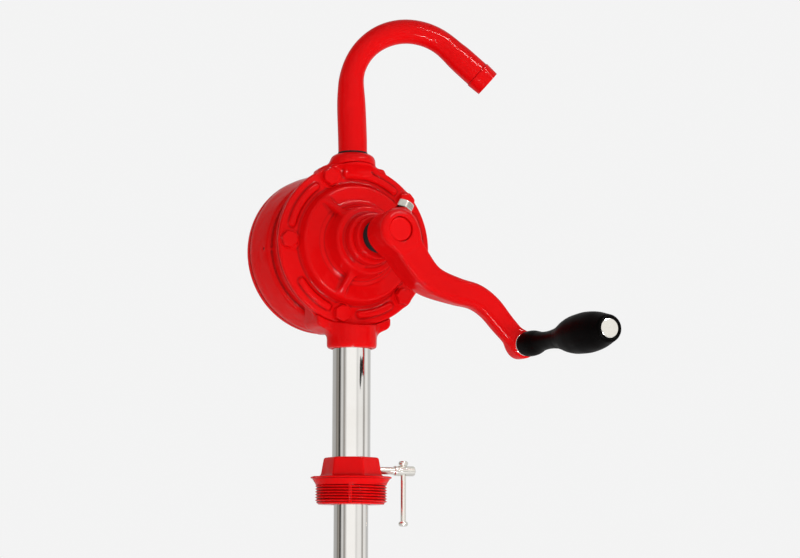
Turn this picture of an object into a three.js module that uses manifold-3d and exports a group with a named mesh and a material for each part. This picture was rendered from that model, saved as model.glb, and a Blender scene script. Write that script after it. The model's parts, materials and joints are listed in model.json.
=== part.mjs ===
// Rotary hand transfer pump for barrels: an eccentric vane pump with a swan-neck crank, a swivelling
// spout, a telescopic suction tube and a sliding 2-inch bung adapter.
//
// Units are millimetres, +Z is up. The origin is the middle of the strainer's flat foot, on the axis of
// the suction tube and the two ports. The shaft lies along Y, and the crank is at the -Y side.
//
// The parts are laid out from the point where the shaft's axis crosses the axis of the ports, and the
// whole pump is lifted at the end until its foot stands on Z = 0.

import * as THREE from 'three';
import { mergeVertices } from 'three/addons/utils/BufferGeometryUtils.js';
import Module from 'manifold-3d';

const wasm = await Module();
wasm.setup();

// ---------------------------------------------------------------- driving dimensions

const clearance = 0.3;
const fine = 40;
const medium = 24;
const coarse = 12;

const rimR = 68.6;
const coverFrontY = -6.5;
const coverBackY = -1.6;
const bodyFrontY = -1;
const gasketThickness = 0.4;
const flangeBackY = 3;
const waistR = 60;
const drumFrontY = 31.5;
const drumFrontR = 63.3;
const shoulderY = 54.8;
const drumR = 68.3;
const bodyBackY = 62.4;
const rearCoverFrontY = 62.9;
const rearCoverBackY = 69.5;
const rearBoss = { rootR: 24, r: 20, y: 76 };

const chamberR = 46;
const eccentricity = 4;
const rotorR = 41;
const rotorFrontY = -1.1;
const rotorBackY = 61.9;

const boltCircleR = 60.5;
const rearBoltCircleR = 57;
const boltAngles = [180, 113, 41, -44, -102];
const bolt = { shankR: 3.9, headR: 7.5, headHeight: 5.3 };
const rearBoltTipY = 42;

const discEdgeR = 49.5;
const discFootR = 51.7;
const discY = -14.5;
const boxRootR = 31;
const boxR = 28.4;
const boxShoulderY = -34;
const boxNoseR = 21.5;
const boxNoseY = -43.6;
const glandR = 18.2;
const glandNoseY = -52.6;
const wiper = { r: 14.5, frontY: -66.2 };
const packing = { r: 15, backY: -19.5 };
const bushR = 13;

const arcRib = { innerR: 56.5, outerR: 62, height: 2.4 };
const arcRibSpans = [[128, 166], [54, 98], [-2, 27], [-86, -58], [-145, -115]];
const gusset = { angles: [131, 10, -111], thickness: 5, topR: 27, topY: -31, footR: 47 };

const shaftR = 9.9;
const shaftBackY = 73;

const outlet = { r: 19.4, topZ: 77.6, edge: 3.4, padHalfWidth: 31, padTopZ: 67.5, padBackY: 10 };
const coverBoss = { lowZ: 58, highZ: 66 };
const inlet = { r: 21, bottomZ: -87.5, edge: 1.8, blockHalfWidth: 33.5, blockFrontY: -6, blockBackY: 24 };
const inletBlock = { topZ: -45, sideZ: -69.5, bottomZ: -74.5 };
const passage = { y: 9, r: 8.6, startZ: 40 };
const inletSocketZ = -73.5;
const outletSocketZ = 69.8;

const hub = { r: 16.8, frontY: -97, backY: -67 };
const armBackY = -83;
const armDeepY = -66.7;
const armPath = [
  [0, 0], [15, -22], [30, -38], [52, -46], [70, -50], [83.5, -58.5], [95.5, -71.5], [112, -88],
];
const armHalfWidth = { hub: 11.5, middle: 10, end: 8.7 };
const armTaper = { startsAt: 26, endsAt: 90 };
const setBolt = { angle: 64, y: -82, headFrom: 21, headTo: 27.5, shankR: 3.9, headR: 7.5 };

const grip = { x: 112, z: -88, bossR: 9.3, startY: -99.5, length: 133 };
const spindle = { threadR: 4.9, r: 5.2, headR: 7.7, headThickness: 3.4 };
const spindleNut = { r: 9.4, thickness: 7.5 };
const washer = { r: 9.8, thickness: 1.8 };

const vane = { angles: [30, 150, 270], thickness: 4.9, rootR: 19.2, tipR: 41.6, slotRootR: 13.2 };
const vaneSpring = { footR: 13.6, bow: 2.1, thickness: 0.6, length: 50, width: 4.4 };
const key = { width: 5, bottomZ: 7.6, topZ: 12.3, frontY: 12, backY: 50 };

const spoutAzimuth = -14;
const spout = { boreR: 8.4, footR: 12.1, baseZ: 78, topOfRiserZ: 137.2, lean: 1.7 };
// The pipe's outer radius at distances along it from baseZ: wide feet and a slimmer bend.
const spoutRadii = [
  [0, 12.1], [45, 11.9], [60, 11.1], [75, 10.1], [96, 10], [120, 10.4], [165, 10.4], [192, 11.6],
  [220, 11.75],
];
const crown = { riseR: 50.1, fallR: 52.9, fallAngle: 40.6, straight: 46.1 };
const collar = { rootR: 12.45, mouthR: 11.8, length: 12.5 };
const fallTurn = THREE.MathUtils.degToRad(crown.fallAngle);
const fallDirection = new THREE.Vector3(Math.cos(fallTurn), 0, -Math.sin(fallTurn));
const spoutSeal = { r: 13.3, bottomZ: 77.8, topZ: 79.2 };

const upperTube = { r: 15.875, boreR: 14.6, topZ: -74, bottomZ: -212 };
const middleTube = { r: 14.3, boreR: 13.1, topZ: -96, bottomZ: -488 };
const lowerTube = { r: 12.7, boreR: 11.5, topZ: -110, bottomZ: -497 };
const tubeSealHeight = 4;
const strainer = { r: 14.5, boreR: 11.9, topZ: -494.5, bottomZ: -522, floor: 2.5 };
Object.assign(strainer, { slots: 6, slotWidth: 4, slotZ: [-516, -504] });

const adapterZ = -194;
const hexTop = { z: 16, r: 23 };
const hexR = 25.9;
const adapterFlange = { r: 34, thickness: 1.6, seatR: 32.2, undersideHeight: 6 };
const pipeThread = { r: 29.8, rootR: 28.35, pitch: 2.309, turns: 6, firstZ: -8, bottomZ: -23 };
const adapterBoreR = 16.2;
const clampScrew = { z: 5.6, r: 3.3, tipX: 16.6, headX: 39, headR: 4.2, endX: 57.5 };
const tommyBar = { x: 47.7, r: 2.2, topZ: 6.3, length: 50.4, knobR: 3.9, knobHeight: 4.2 };

// ---------------------------------------------------------------- materials

function material(color, roughness, metalness) {
  return new THREE.MeshStandardMaterial({ color, roughness, metalness });
}

const redPaint = material(0xe0151b, 0.28, 0.0);
const polishedSteel = material(0xd9d9d6, 0.15, 1.0);
const plainSteel = material(0x9a9a98, 0.4, 1.0);
const zincPlate = material(0xc9c4b4, 0.35, 1.0);
const bronze = material(0xb08d57, 0.4, 1.0);
const castIron = material(0x5c5a58, 0.7, 0.6);
const blackPlastic = material(0x0c0c0d, 0.18, 0.0);
const blackRubber = material(0x141414, 0.75, 0.0);
const gasketPaper = material(0x3a3f3c, 0.85, 0.0);
const graphitePacking = material(0x2b2b2d, 0.8, 0.0);

// ---------------------------------------------------------------- solids

const radians = THREE.MathUtils.degToRad;

function signedVolume(points, triangles) {
  let total = 0;
  const corner = [new THREE.Vector3(), new THREE.Vector3(), new THREE.Vector3()];
  for (let i = 0; i < triangles.length; i += 3) {
    corner.forEach((point, k) => point.fromArray(points, triangles[i + k] * 3));
    total += corner[0].dot(corner[1].cross(corner[2])) / 6;
  }
  return total;
}

// A three.js geometry as a solid, with doubled points merged and its faces turned to point out.
function solid(geometry) {
  const bare = geometry.index ? geometry.toNonIndexed() : geometry.clone();
  bare.deleteAttribute('normal');
  bare.deleteAttribute('uv');
  const merged = mergeVertices(bare, 1e-3);
  const points = merged.attributes.position.array;
  const triangles = [];
  for (let i = 0; i < merged.index.count; i += 3) {
    const [a, b, c] = merged.index.array.slice(i, i + 3);
    if (a !== b && b !== c && c !== a) triangles.push(a, b, c);
  }
  if (signedVolume(points, triangles) < 0) triangles.reverse();
  const mesh = new wasm.Mesh({
    numProp: 3,
    vertProperties: new Float32Array(points),
    triVerts: new Uint32Array(triangles),
  });
  return new wasm.Manifold(mesh);
}

function joined(first, ...others) {
  return others.reduce((sum, next) => sum.add(next), first);
}

function cutBy(first, ...tools) {
  return tools.reduce((rest, tool) => rest.subtract(tool), first);
}

function part(name, shape, look) {
  const mesh = shape.getMesh();
  const geometry = new THREE.BufferGeometry();
  geometry.setAttribute('position', new THREE.BufferAttribute(mesh.vertProperties, 3));
  geometry.setIndex(new THREE.BufferAttribute(mesh.triVerts, 1));
  geometry.computeVertexNormals();
  const result = new THREE.Mesh(geometry, look);
  result.name = name;
  return result;
}

// A shape turned about Y from [radius, y] points; a profile off the axis closes on itself.
function turnedY(profile, segments = medium) {
  const onAxis = profile[0][0] === 0;
  const outline = onAxis ? profile : [...profile, profile[0]];
  return new THREE.LatheGeometry(outline.map(([r, y]) => new THREE.Vector2(r, y)), segments);
}

// The same about Z, from [radius, z] points.
function turnedZ(profile, segments = medium) {
  return turnedY(profile, segments).rotateX(Math.PI / 2);
}

function rodProfile(r, from, to) {
  return [[0, from], [r, from], [r, to], [0, to]];
}

function ringProfile(innerR, outerR, from, to) {
  return [[innerR, from], [outerR, from], [outerR, to], [innerR, to]];
}

function rodY(r, from, to, segments = medium) {
  return turnedY(rodProfile(r, from, to), segments);
}

function rodZ(r, from, to, segments = medium) {
  return turnedZ(rodProfile(r, from, to), segments);
}

function ringY(innerR, outerR, from, to, segments = medium) {
  return turnedY(ringProfile(innerR, outerR, from, to), segments);
}

function ringZ(innerR, outerR, from, to, segments = medium) {
  return turnedZ(ringProfile(innerR, outerR, from, to), segments);
}

function box(x, y, z) {
  const size = [x, y, z].map(([low, high]) => high - low);
  const middle = [x, y, z].map(([low, high]) => (low + high) / 2);
  return new THREE.BoxGeometry(...size).translate(...middle);
}

// An outline in X and Z, as a plate from one Y to a higher one.
function plateY(points, fromY, toY) {
  const shape = new THREE.Shape(points.map(([x, z]) => new THREE.Vector2(x, z)));
  const options = { depth: toY - fromY, bevelEnabled: false };
  return new THREE.ExtrudeGeometry(shape, options).rotateX(Math.PI / 2).translate(0, toY, 0);
}

// An outline in X and Y, as a plate of some thickness about Z = 0.
function plateZ(points, thickness) {
  const shape = new THREE.Shape(points.map(([x, y]) => new THREE.Vector2(x, y)));
  const options = { depth: thickness, bevelEnabled: false };
  return new THREE.ExtrudeGeometry(shape, options).translate(0, 0, -thickness / 2);
}

// Points around the shaft are placed by their angle from +X, seen from the front of the pump.
function aroundShaft(angle, r, y = 0) {
  return new THREE.Vector3(r * Math.cos(radians(angle)), y, r * Math.sin(radians(angle)));
}

// ---------------------------------------------------------------- pump casing

function boltHoles(r, fromY, toY, circleR = boltCircleR) {
  return boltAngles.map((angle) => {
    const at = aroundShaft(angle, circleR);
    return solid(rodY(r, fromY, toY, coarse).translate(at.x, 0, at.z));
  });
}

function pumpBody() {
  const shell = turnedY([
    [0, bodyFrontY], [rimR, bodyFrontY], [rimR, flangeBackY], [waistR, flangeBackY + 1],
    [waistR, drumFrontY], [drumFrontR, drumFrontY], [drumR, shoulderY], [drumR, bodyBackY], [0, bodyBackY],
  ], fine);
  const inletSide = inlet.blockHalfWidth;
  const inletPlate = plateY([
    [-inletSide, inletBlock.topZ], [-inletSide, inletBlock.sideZ], [-inlet.r, inletBlock.bottomZ],
    [inlet.r, inletBlock.bottomZ], [inletSide, inletBlock.sideZ], [inletSide, inletBlock.topZ],
  ], inlet.blockFrontY, inlet.blockBackY);
  const padSide = outlet.padHalfWidth;
  const outletPad = plateY([
    [-padSide, -inletBlock.topZ], [padSide, -inletBlock.topZ], [padSide, outlet.padTopZ - 4],
    [padSide - 1.5, outlet.padTopZ], [outlet.r, outlet.padTopZ + 1], [-outlet.r, outlet.padTopZ + 1],
    [-padSide, outlet.padTopZ - 7],
  ], bodyFrontY, outlet.padBackY);
  const outletBoss = turnedZ([
    [0, padSide], [outlet.r, padSide], [outlet.r, outlet.topZ - outlet.edge],
    [outlet.r - outlet.edge / 3, outlet.topZ - outlet.edge / 3], [outlet.r - outlet.edge, outlet.topZ],
    [0, outlet.topZ],
  ]);
  const inletBoss = turnedZ([
    [0, -inletSide], [inlet.r, -inletSide], [inlet.r, inlet.bottomZ + inlet.edge],
    [inlet.r - inlet.edge / 3, inlet.bottomZ + inlet.edge / 3], [inlet.r - inlet.edge, inlet.bottomZ],
    [0, inlet.bottomZ],
  ]);
  const chamber = rodY(chamberR, -inlet.r * 2, bodyBackY + 1, fine).translate(eccentricity, 0, 0);
  const coverSeat = rodY(rimR + 2 * clearance, -inlet.r * 2, bodyFrontY, fine);
  return cutBy(
    joined(solid(shell), solid(inletPlate), solid(outletPad), solid(outletBoss), solid(inletBoss)),
    solid(coverSeat),
    solid(chamber),
    solid(rodZ(upperTube.r + clearance, inlet.bottomZ - 1, inletSocketZ)),
    solid(rodZ(spout.footR + clearance, outletSocketZ, outlet.topZ + 1)),
    solid(rodZ(passage.r, inletSocketZ - 1, -passage.startZ).translate(0, passage.y, 0)),
    solid(rodZ(passage.r, passage.startZ, outletSocketZ + 1).translate(0, passage.y, 0)),
    ...boltHoles(bolt.shankR + clearance, bodyFrontY - 1, flangeBackY + 0.5),
    ...boltHoles(bolt.shankR + clearance, rearBoltTipY - 1.5, bodyBackY + 1, rearBoltCircleR),
  );
}

// A raised arc with round ends, standing on the cover's face between two bolts.
function arcRibSolid([fromAngle, toAngle]) {
  const endR = (arcRib.outerR - arcRib.innerR) / 2;
  const middleR = (arcRib.outerR + arcRib.innerR) / 2;
  const steps = Math.ceil((toAngle - fromAngle) / 8);
  const points = [];
  for (let i = 0; i <= steps; i += 1) {
    const angle = radians(fromAngle + ((toAngle - fromAngle) * i) / steps);
    points.push([arcRib.outerR * Math.cos(angle), arcRib.outerR * Math.sin(angle)]);
  }
  for (let i = steps; i >= 0; i -= 1) {
    const angle = radians(fromAngle + ((toAngle - fromAngle) * i) / steps);
    points.push([arcRib.innerR * Math.cos(angle), arcRib.innerR * Math.sin(angle)]);
  }
  const fromY = coverFrontY - arcRib.height;
  const ends = [fromAngle, toAngle].map((angle) => {
    const at = aroundShaft(angle, middleR);
    return solid(rodY(endR, fromY, coverFrontY + 1, coarse).translate(at.x, 0, at.z));
  });
  return joined(solid(plateY(points, fromY, coverFrontY + 1)), ...ends);
}

// A web that runs out from the stuffing box to the edge of the raised disc.
function gussetSolid(angle) {
  const web = plateZ([
    [gusset.topR - 4, discY + 2], [gusset.topR - 4, gusset.topY], [gusset.topR, gusset.topY],
    [gusset.footR, discY - 1], [gusset.footR, discY + 2],
  ], gusset.thickness);
  return solid(web.rotateY(-radians(angle)));
}

// The cover's share of the outlet boss: a half cone that runs out on the face below the joint.
function coverBossSolid() {
  const cone = turnedZ([
    [0, coverBoss.lowZ], [-coverFrontY - 0.5, coverBoss.lowZ], [outlet.r, coverBoss.highZ],
    [outlet.r, rimR + 1], [0, rimR + 1],
  ]);
  const insideRim = rodY(rimR, -outlet.r - 1, coverFrontY + 1, fine);
  const headRoom = boltHoles(bolt.headR + 2 * clearance, -outlet.r - 2, coverFrontY);
  return cutBy(solid(cone).intersect(solid(insideRim)), ...headRoom);
}

function frontCover() {
  const plate = turnedY([
    [bushR + 0.1, coverBackY], [rimR, coverBackY], [rimR, coverFrontY + 1], [rimR - 1, coverFrontY],
    [discFootR, coverFrontY], [discEdgeR, discY], [boxRootR + 2, discY], [boxRootR, discY - 3],
    [boxR, boxShoulderY + 1], [boxR - 1, boxShoulderY], [boxNoseR + 1.5, boxShoulderY],
    [boxNoseR, boxShoulderY - 2], [boxNoseR, boxNoseY], [packing.r + 0.2, boxNoseY],
    [packing.r + 0.2, packing.backY], [bushR + 0.1, packing.backY],
  ], fine);
  const ribs = arcRibSpans.map(arcRibSolid);
  const webs = gusset.angles.map(gussetSolid);
  return cutBy(
    joined(solid(plate), coverBossSolid(), ...ribs, ...webs),
    ...boltHoles(bolt.shankR + clearance, coverFrontY - 1, coverBackY + 1),
  );
}

function coverGasket(middleY, circleR) {
  const from = middleY - gasketThickness / 2;
  const plate = ringY(chamberR + eccentricity + 1.5, rimR, from, from + gasketThickness, fine);
  return cutBy(solid(plate), ...boltHoles(bolt.shankR + clearance, from - 1, from + 1, circleR));
}

function rearCover() {
  const plate = turnedY([
    [0, rearCoverFrontY], [drumR, rearCoverFrontY], [drumR, rearCoverBackY - 1],
    [drumR - 1, rearCoverBackY], [rearBoss.rootR, rearCoverBackY], [rearBoss.r, rearBoss.y - 1.5],
    [rearBoss.r - 1.5, rearBoss.y], [0, rearBoss.y],
  ], fine);
  return cutBy(
    solid(plate),
    solid(rodY(bushR + 0.1, rearCoverFrontY - 1, shaftBackY + 0.5)),
    ...boltHoles(bolt.shankR + clearance, rearCoverFrontY - 1, rearCoverBackY + 1, rearBoltCircleR),
  );
}

// A hexagon-head bolt whose head stands towards -Y from y = 0.
function hexBolt(shankLength) {
  const head = new THREE.CylinderGeometry(bolt.headR, bolt.headR, bolt.headHeight, 6);
  const shank = rodY(bolt.shankR, -1, shankLength, coarse);
  return joined(solid(head.translate(0, -bolt.headHeight / 2, 0)), solid(shank));
}

function bolts(name, shape, circleR, headY, turn) {
  return boltAngles.map((angle, i) => {
    const mesh = part(`${name}_${i + 1}`, shape, redPaint);
    mesh.position.copy(aroundShaft(angle, circleR, headY));
    mesh.rotation.x = turn;
    return mesh;
  });
}

function gland() {
  return solid(turnedY([
    [shaftR + clearance, boxNoseY + 6], [packing.r - 0.1, boxNoseY + 6], [packing.r - 0.1, boxNoseY - 0.2],
    [glandR, boxNoseY - 0.2], [glandR, glandNoseY + 1], [glandR - 1, glandNoseY],
    [shaftR + clearance, glandNoseY],
  ]));
}

// A bush, packing or wiper ring in which the shaft runs.
function shaftRing(outerR, fromY, toY) {
  return solid(ringY(shaftR + 0.1, outerR, fromY, toY));
}

function spoutSealRing() {
  return solid(ringZ(spout.footR + 0.2, spoutSeal.r, spoutSeal.bottomZ, spoutSeal.topZ));
}

function casing() {
  const group = new THREE.Group();
  const frontBoltLength = flangeBackY - coverFrontY;
  const rearBoltLength = rearCoverBackY - rearBoltTipY;
  group.add(
    part('pump_body', pumpBody(), redPaint),
    part('front_cover', frontCover(), redPaint),
    part('rear_cover', rearCover(), redPaint),
    part('front_gasket', coverGasket((bodyFrontY + coverBackY) / 2, boltCircleR), gasketPaper),
    part('rear_gasket', coverGasket((bodyBackY + rearCoverFrontY) / 2, rearBoltCircleR), gasketPaper),
    part('front_bush', shaftRing(bushR, packing.backY + 0.2, coverBackY), bronze),
    part('rear_bush', shaftRing(bushR, rearCoverFrontY + 0.1, shaftBackY), bronze),
    part('gland_packing', shaftRing(packing.r, boxNoseY + 6.3, packing.backY - 0.2), graphitePacking),
    part('gland_nut', gland(), redPaint),
    part('spout_seal', spoutSealRing(), blackRubber),
    part('shaft_wiper', shaftRing(wiper.r, wiper.frontY, glandNoseY - 0.2), blackRubber),
    ...bolts('front_cover_bolt', hexBolt(frontBoltLength), boltCircleR, coverFrontY - 0.1, 0),
    ...bolts('rear_cover_bolt', hexBolt(rearBoltLength), rearBoltCircleR, rearCoverBackY + 0.1, Math.PI),
  );
  return group;
}

// ---------------------------------------------------------------- shaft, rotor and vanes

function keyway() {
  const side = key.width / 2 + 0.15;
  return box([-side, side], [key.frontY - 0.2, key.backY + 0.2], [key.bottomZ - 0.2, key.topZ + 0.2]);
}

function shaft() {
  return cutBy(solid(rodY(shaftR, hub.frontY + 0.2, shaftBackY)), solid(keyway()));
}

function rotor() {
  const side = vane.thickness / 2 + 0.2;
  const slots = vane.angles.map((angle) => {
    const slot = box([vane.slotRootR, rotorR + 1], [rotorFrontY - 1, rotorBackY + 1], [-side, side]);
    return solid(slot.rotateY(-radians(angle)));
  });
  const drum = ringY(shaftR + 0.2, rotorR, rotorFrontY, rotorBackY, fine);
  return cutBy(solid(drum), solid(keyway()), ...slots);
}

function vaneBlade() {
  const side = vane.thickness / 2;
  return solid(box([vane.rootR, vane.tipR], [rotorFrontY, rotorBackY], [-side, side]));
}

// A bowed strip of spring steel that lies in the foot of a vane's slot.
function vaneSpringStrip() {
  const steps = 10;
  const bowAt = (i) => vaneSpring.footR + vaneSpring.bow * Math.sin((Math.PI * i) / steps);
  const alongAt = (i) => -vaneSpring.length / 2 + (vaneSpring.length * i) / steps;
  const upper = [];
  const lower = [];
  for (let i = 0; i <= steps; i += 1) {
    lower.push([bowAt(i), alongAt(i)]);
    upper.unshift([bowAt(i) + vaneSpring.thickness, alongAt(i)]);
  }
  const middleY = (rotorFrontY + rotorBackY) / 2;
  return solid(plateZ([...lower, ...upper], vaneSpring.width).translate(0, middleY, 0));
}

function turningParts() {
  const group = new THREE.Group();
  const side = key.width / 2;
  const keyBar = box([-side, side], [key.frontY, key.backY], [key.bottomZ, key.topZ]);
  group.add(
    part('shaft', shaft(), plainSteel),
    part('rotor', rotor(), castIron),
    part('rotor_key', solid(keyBar), plainSteel),
  );
  vane.angles.forEach((angle, i) => {
    const slot = new THREE.Group();
    slot.rotation.y = -radians(angle);
    slot.add(part(`vane_${i + 1}`, vaneBlade(), bronze));
    slot.add(part(`vane_spring_${i + 1}`, vaneSpringStrip(), plainSteel));
    group.add(slot);
  });
  return group;
}

// ---------------------------------------------------------------- crank and grip

// The arm's outline in X and Z: a swan-neck centre line with a width that narrows to its end.
function armOutline() {
  const centreLine = new THREE.CatmullRomCurve3(armPath.map(([x, z]) => new THREE.Vector3(x, 0, z)));
  const steps = 20;
  const left = [];
  const right = [];
  for (let i = 0; i <= steps; i += 1) {
    const t = i / steps;
    const at = centreLine.getPointAt(t);
    const along = centreLine.getTangentAt(t);
    const width = t < 0.4
      ? THREE.MathUtils.lerp(armHalfWidth.hub, armHalfWidth.middle, t / 0.4)
      : THREE.MathUtils.lerp(armHalfWidth.middle, armHalfWidth.end, (t - 0.4) / 0.6);
    left.push([at.x - along.z * width, at.z + along.x * width]);
    right.unshift([at.x + along.z * width, at.z - along.x * width]);
  }
  return [...left, ...right];
}

function crankArm() {
  const reach = Math.hypot(grip.x, grip.z);
  const restAngle = THREE.MathUtils.radToDeg(Math.atan2(grip.z, grip.x));
  const end = aroundShaft(restAngle, reach);
  // Seen from above with the arm laid out flat, its back slopes in from the deep hub to the thin arm.
  const sideView = plateZ([
    [-hub.r, hub.frontY], [reach + 2 * grip.bossR, hub.frontY], [reach + 2 * grip.bossR, armBackY],
    [armTaper.endsAt, armBackY], [armTaper.startsAt, armDeepY], [-hub.r, armDeepY],
  ], reach * 2).rotateY(-radians(restAngle));
  const blade = solid(plateY(armOutline(), hub.frontY, armDeepY)).intersect(solid(sideView));
  const hubTurned = turnedY([
    [0, hub.frontY], [hub.r - 1.5, hub.frontY], [hub.r, hub.frontY + 1.5], [hub.r, hub.backY - 1],
    [hub.r - 1, hub.backY], [0, hub.backY],
  ]);
  const gripBoss = rodY(grip.bossR, hub.frontY, armBackY).translate(end.x, 0, end.z);
  const spindleHole = rodY(spindle.threadR + clearance, hub.frontY - 1, armBackY + 1, coarse);
  return cutBy(
    joined(blade, solid(hubTurned), solid(gripBoss)),
    solid(rodY(shaftR + clearance, hub.frontY - 1, hub.backY + 1)),
    solid(spindleHole.translate(end.x, 0, end.z)),
    solid(alongSetBolt(rodY(setBolt.shankR + clearance, 0, setBolt.headTo, coarse))),
  );
}

// Lays a shape that stands along +Y out along the set bolt's own line from the shaft's axis.
function alongSetBolt(geometry) {
  return geometry.rotateX(Math.PI / 2).rotateY(radians(90 - setBolt.angle)).translate(0, setBolt.y, 0);
}

function crankSetBolt() {
  const height = setBolt.headTo - setBolt.headFrom;
  const head = new THREE.CylinderGeometry(setBolt.headR, setBolt.headR, height, 6);
  head.translate(0, (setBolt.headTo + setBolt.headFrom) / 2, 0);
  const shank = rodY(setBolt.shankR, shaftR + clearance, setBolt.headFrom + 1, coarse);
  return joined(solid(alongSetBolt(head)), solid(alongSetBolt(shank)));
}

// The grip's profile as [distance from its collar, radius]: a bead, a neck and a pear-shaped bulb.
function gripOuter() {
  const curve = new THREE.SplineCurve([
    [0, 9.2], [3, 10.2], [8, 10.4], [14, 10.1], [24, 8.1], [38, 7.2], [46, 7.6], [63, 10.7], [80, 14.9],
    [96, 16], [110, 15.2], [125, 12.2], [grip.length, 10.3],
  ].map(([along, r]) => new THREE.Vector2(r, grip.startY - along)));
  return curve.getPoints(medium).map((point) => [point.x, point.y]);
}

function gripSolid() {
  const endY = grip.startY - grip.length;
  const seatY = endY + spindle.headThickness + 1;
  const bore = spindle.r + clearance;
  return solid(turnedY([
    [bore, grip.startY], ...gripOuter(), [spindle.headR + clearance, endY],
    [spindle.headR + clearance, seatY], [bore, seatY],
  ]));
}

function gripSpindle() {
  const endY = grip.startY - grip.length + 0.4;
  return solid(turnedY([
    [0, armBackY + spindleNut.thickness + 1.5], [spindle.threadR, armBackY + spindleNut.thickness + 1.5],
    [spindle.threadR, hub.frontY - 0.2], [spindle.r, hub.frontY - 0.2],
    [spindle.r, endY + spindle.headThickness], [spindle.headR, endY + spindle.headThickness],
    [spindle.headR, endY + 0.6], [spindle.headR - 0.8, endY], [0, endY],
  ]));
}

function spindleNutSolid() {
  const nut = new THREE.CylinderGeometry(spindleNut.r, spindleNut.r, spindleNut.thickness, 6);
  nut.translate(0, armBackY + 0.2 + spindleNut.thickness / 2, 0);
  return cutBy(solid(nut), solid(rodY(spindle.threadR + 0.2, armBackY - 1, armBackY + 12, coarse)));
}

function gripWasher() {
  const backY = hub.frontY - 0.3;
  return solid(ringY(spindle.r + 0.2, washer.r, backY - washer.thickness, backY));
}

function crank() {
  const group = new THREE.Group();
  const gripEnd = new THREE.Group();
  gripEnd.position.set(grip.x, 0, grip.z);
  gripEnd.add(
    part('grip_spindle', gripSpindle(), zincPlate),
    part('spindle_nut', spindleNutSolid(), zincPlate),
    part('grip_washer', gripWasher(), zincPlate),
    part('grip', gripSolid(), blackPlastic),
  );
  group.add(part('crank_arm', crankArm(), redPaint));
  group.add(part('crank_set_bolt', crankSetBolt(), zincPlate));
  group.add(gripEnd);
  return group;
}

// ---------------------------------------------------------------- spout

// The spout's centre line in its own plane: a riser that leans back a little, two arcs over the top and
// a straight fall.
function spoutPath(startZ, fallLength) {
  const riserHeight = spout.topOfRiserZ - spout.baseZ;
  const arcPoint = (centreZ, r, angle) =>
    new THREE.Vector3(crown.riseR - spout.lean + r * Math.sin(angle), 0, centreZ + r * Math.cos(angle));
  const points = [new THREE.Vector3(0, 0, startZ)];
  for (const t of [0, 1 / 3, 2 / 3]) {
    points.push(new THREE.Vector3(-spout.lean * t * t, 0, spout.baseZ + t * riserHeight));
  }
  const steps = 6;
  for (let i = 0; i <= steps; i += 1) {
    points.push(arcPoint(spout.topOfRiserZ, crown.riseR, (Math.PI / 2) * (i / steps - 1)));
  }
  const fallCentreZ = spout.topOfRiserZ + crown.riseR - crown.fallR;
  for (let i = 1; i <= steps; i += 1) {
    points.push(arcPoint(fallCentreZ, crown.fallR, (fallTurn * i) / steps));
  }
  points.push(points[points.length - 1].clone().addScaledVector(fallDirection, fallLength));
  return new THREE.CatmullRomCurve3(points, false, 'centripetal');
}

function spoutRadiusAt(distance) {
  const next = spoutRadii.findIndex(([along]) => along > distance);
  if (next <= 0) return spoutRadii[0][1];
  const [fromAlong, fromR] = spoutRadii[next - 1];
  const [toAlong, toR] = spoutRadii[next];
  return THREE.MathUtils.mapLinear(distance, fromAlong, toAlong, fromR, toR);
}

// A solid along a curve in the X-Z plane, with round sections of the radius given at each distance.
function pipeAlong(curve, radiusAt, sides = 20, steps = 36) {
  const length = curve.getLength();
  const across = new THREE.Vector3(0, 1, 0);
  const points = [];
  const triangles = [];
  for (let i = 0; i <= steps; i += 1) {
    const middle = curve.getPointAt(i / steps);
    const upward = new THREE.Vector3().crossVectors(curve.getTangentAt(i / steps), across);
    for (let k = 0; k < sides; k += 1) {
      const angle = (Math.PI * 2 * k) / sides;
      const r = radiusAt((i / steps) * length);
      const point = middle.clone().addScaledVector(upward, r * Math.cos(angle));
      points.push(...point.addScaledVector(across, r * Math.sin(angle)));
      const [a, b] = [i * sides + k, i * sides + ((k + 1) % sides)];
      if (i < steps) triangles.push(a, b, b + sides, a, b + sides, a + sides);
    }
  }
  for (let k = 1; k < sides - 1; k += 1) {
    const last = steps * sides;
    triangles.push(0, k + 1, k, last, last + k, last + k + 1);
  }
  const geometry = new THREE.BufferGeometry();
  geometry.setAttribute('position', new THREE.Float32BufferAttribute(points, 3));
  geometry.setIndex(triangles);
  return geometry;
}

function spoutSolid() {
  const footZ = outletSocketZ + 0.4;
  const outside = spoutPath(footZ, crown.straight - 1);
  const bore = spoutPath(footZ - 1, crown.straight + 1);
  const mouthCollar = turnedY([
    [0, -collar.length], [collar.rootR, -collar.length], [collar.mouthR, 0], [0, 0],
  ]).rotateZ(-Math.PI / 2).rotateY(fallTurn);
  const mouth = outside.getPointAt(1).addScaledVector(fallDirection, 1);
  mouthCollar.translate(mouth.x, mouth.y, mouth.z);
  const pipe = pipeAlong(outside, (distance) => spoutRadiusAt(distance - (spout.baseZ - footZ)));
  return cutBy(
    joined(solid(pipe), solid(mouthCollar)),
    solid(pipeAlong(bore, () => spout.boreR)),
  );
}

function spoutGroup() {
  const group = new THREE.Group();
  group.rotation.z = radians(spoutAzimuth);
  group.add(part('spout', spoutSolid(), redPaint));
  return group;
}

// ---------------------------------------------------------------- suction tube and foot

function tube(size) {
  return solid(ringZ(size.boreR, size.r, size.bottomZ, size.topZ));
}

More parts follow.
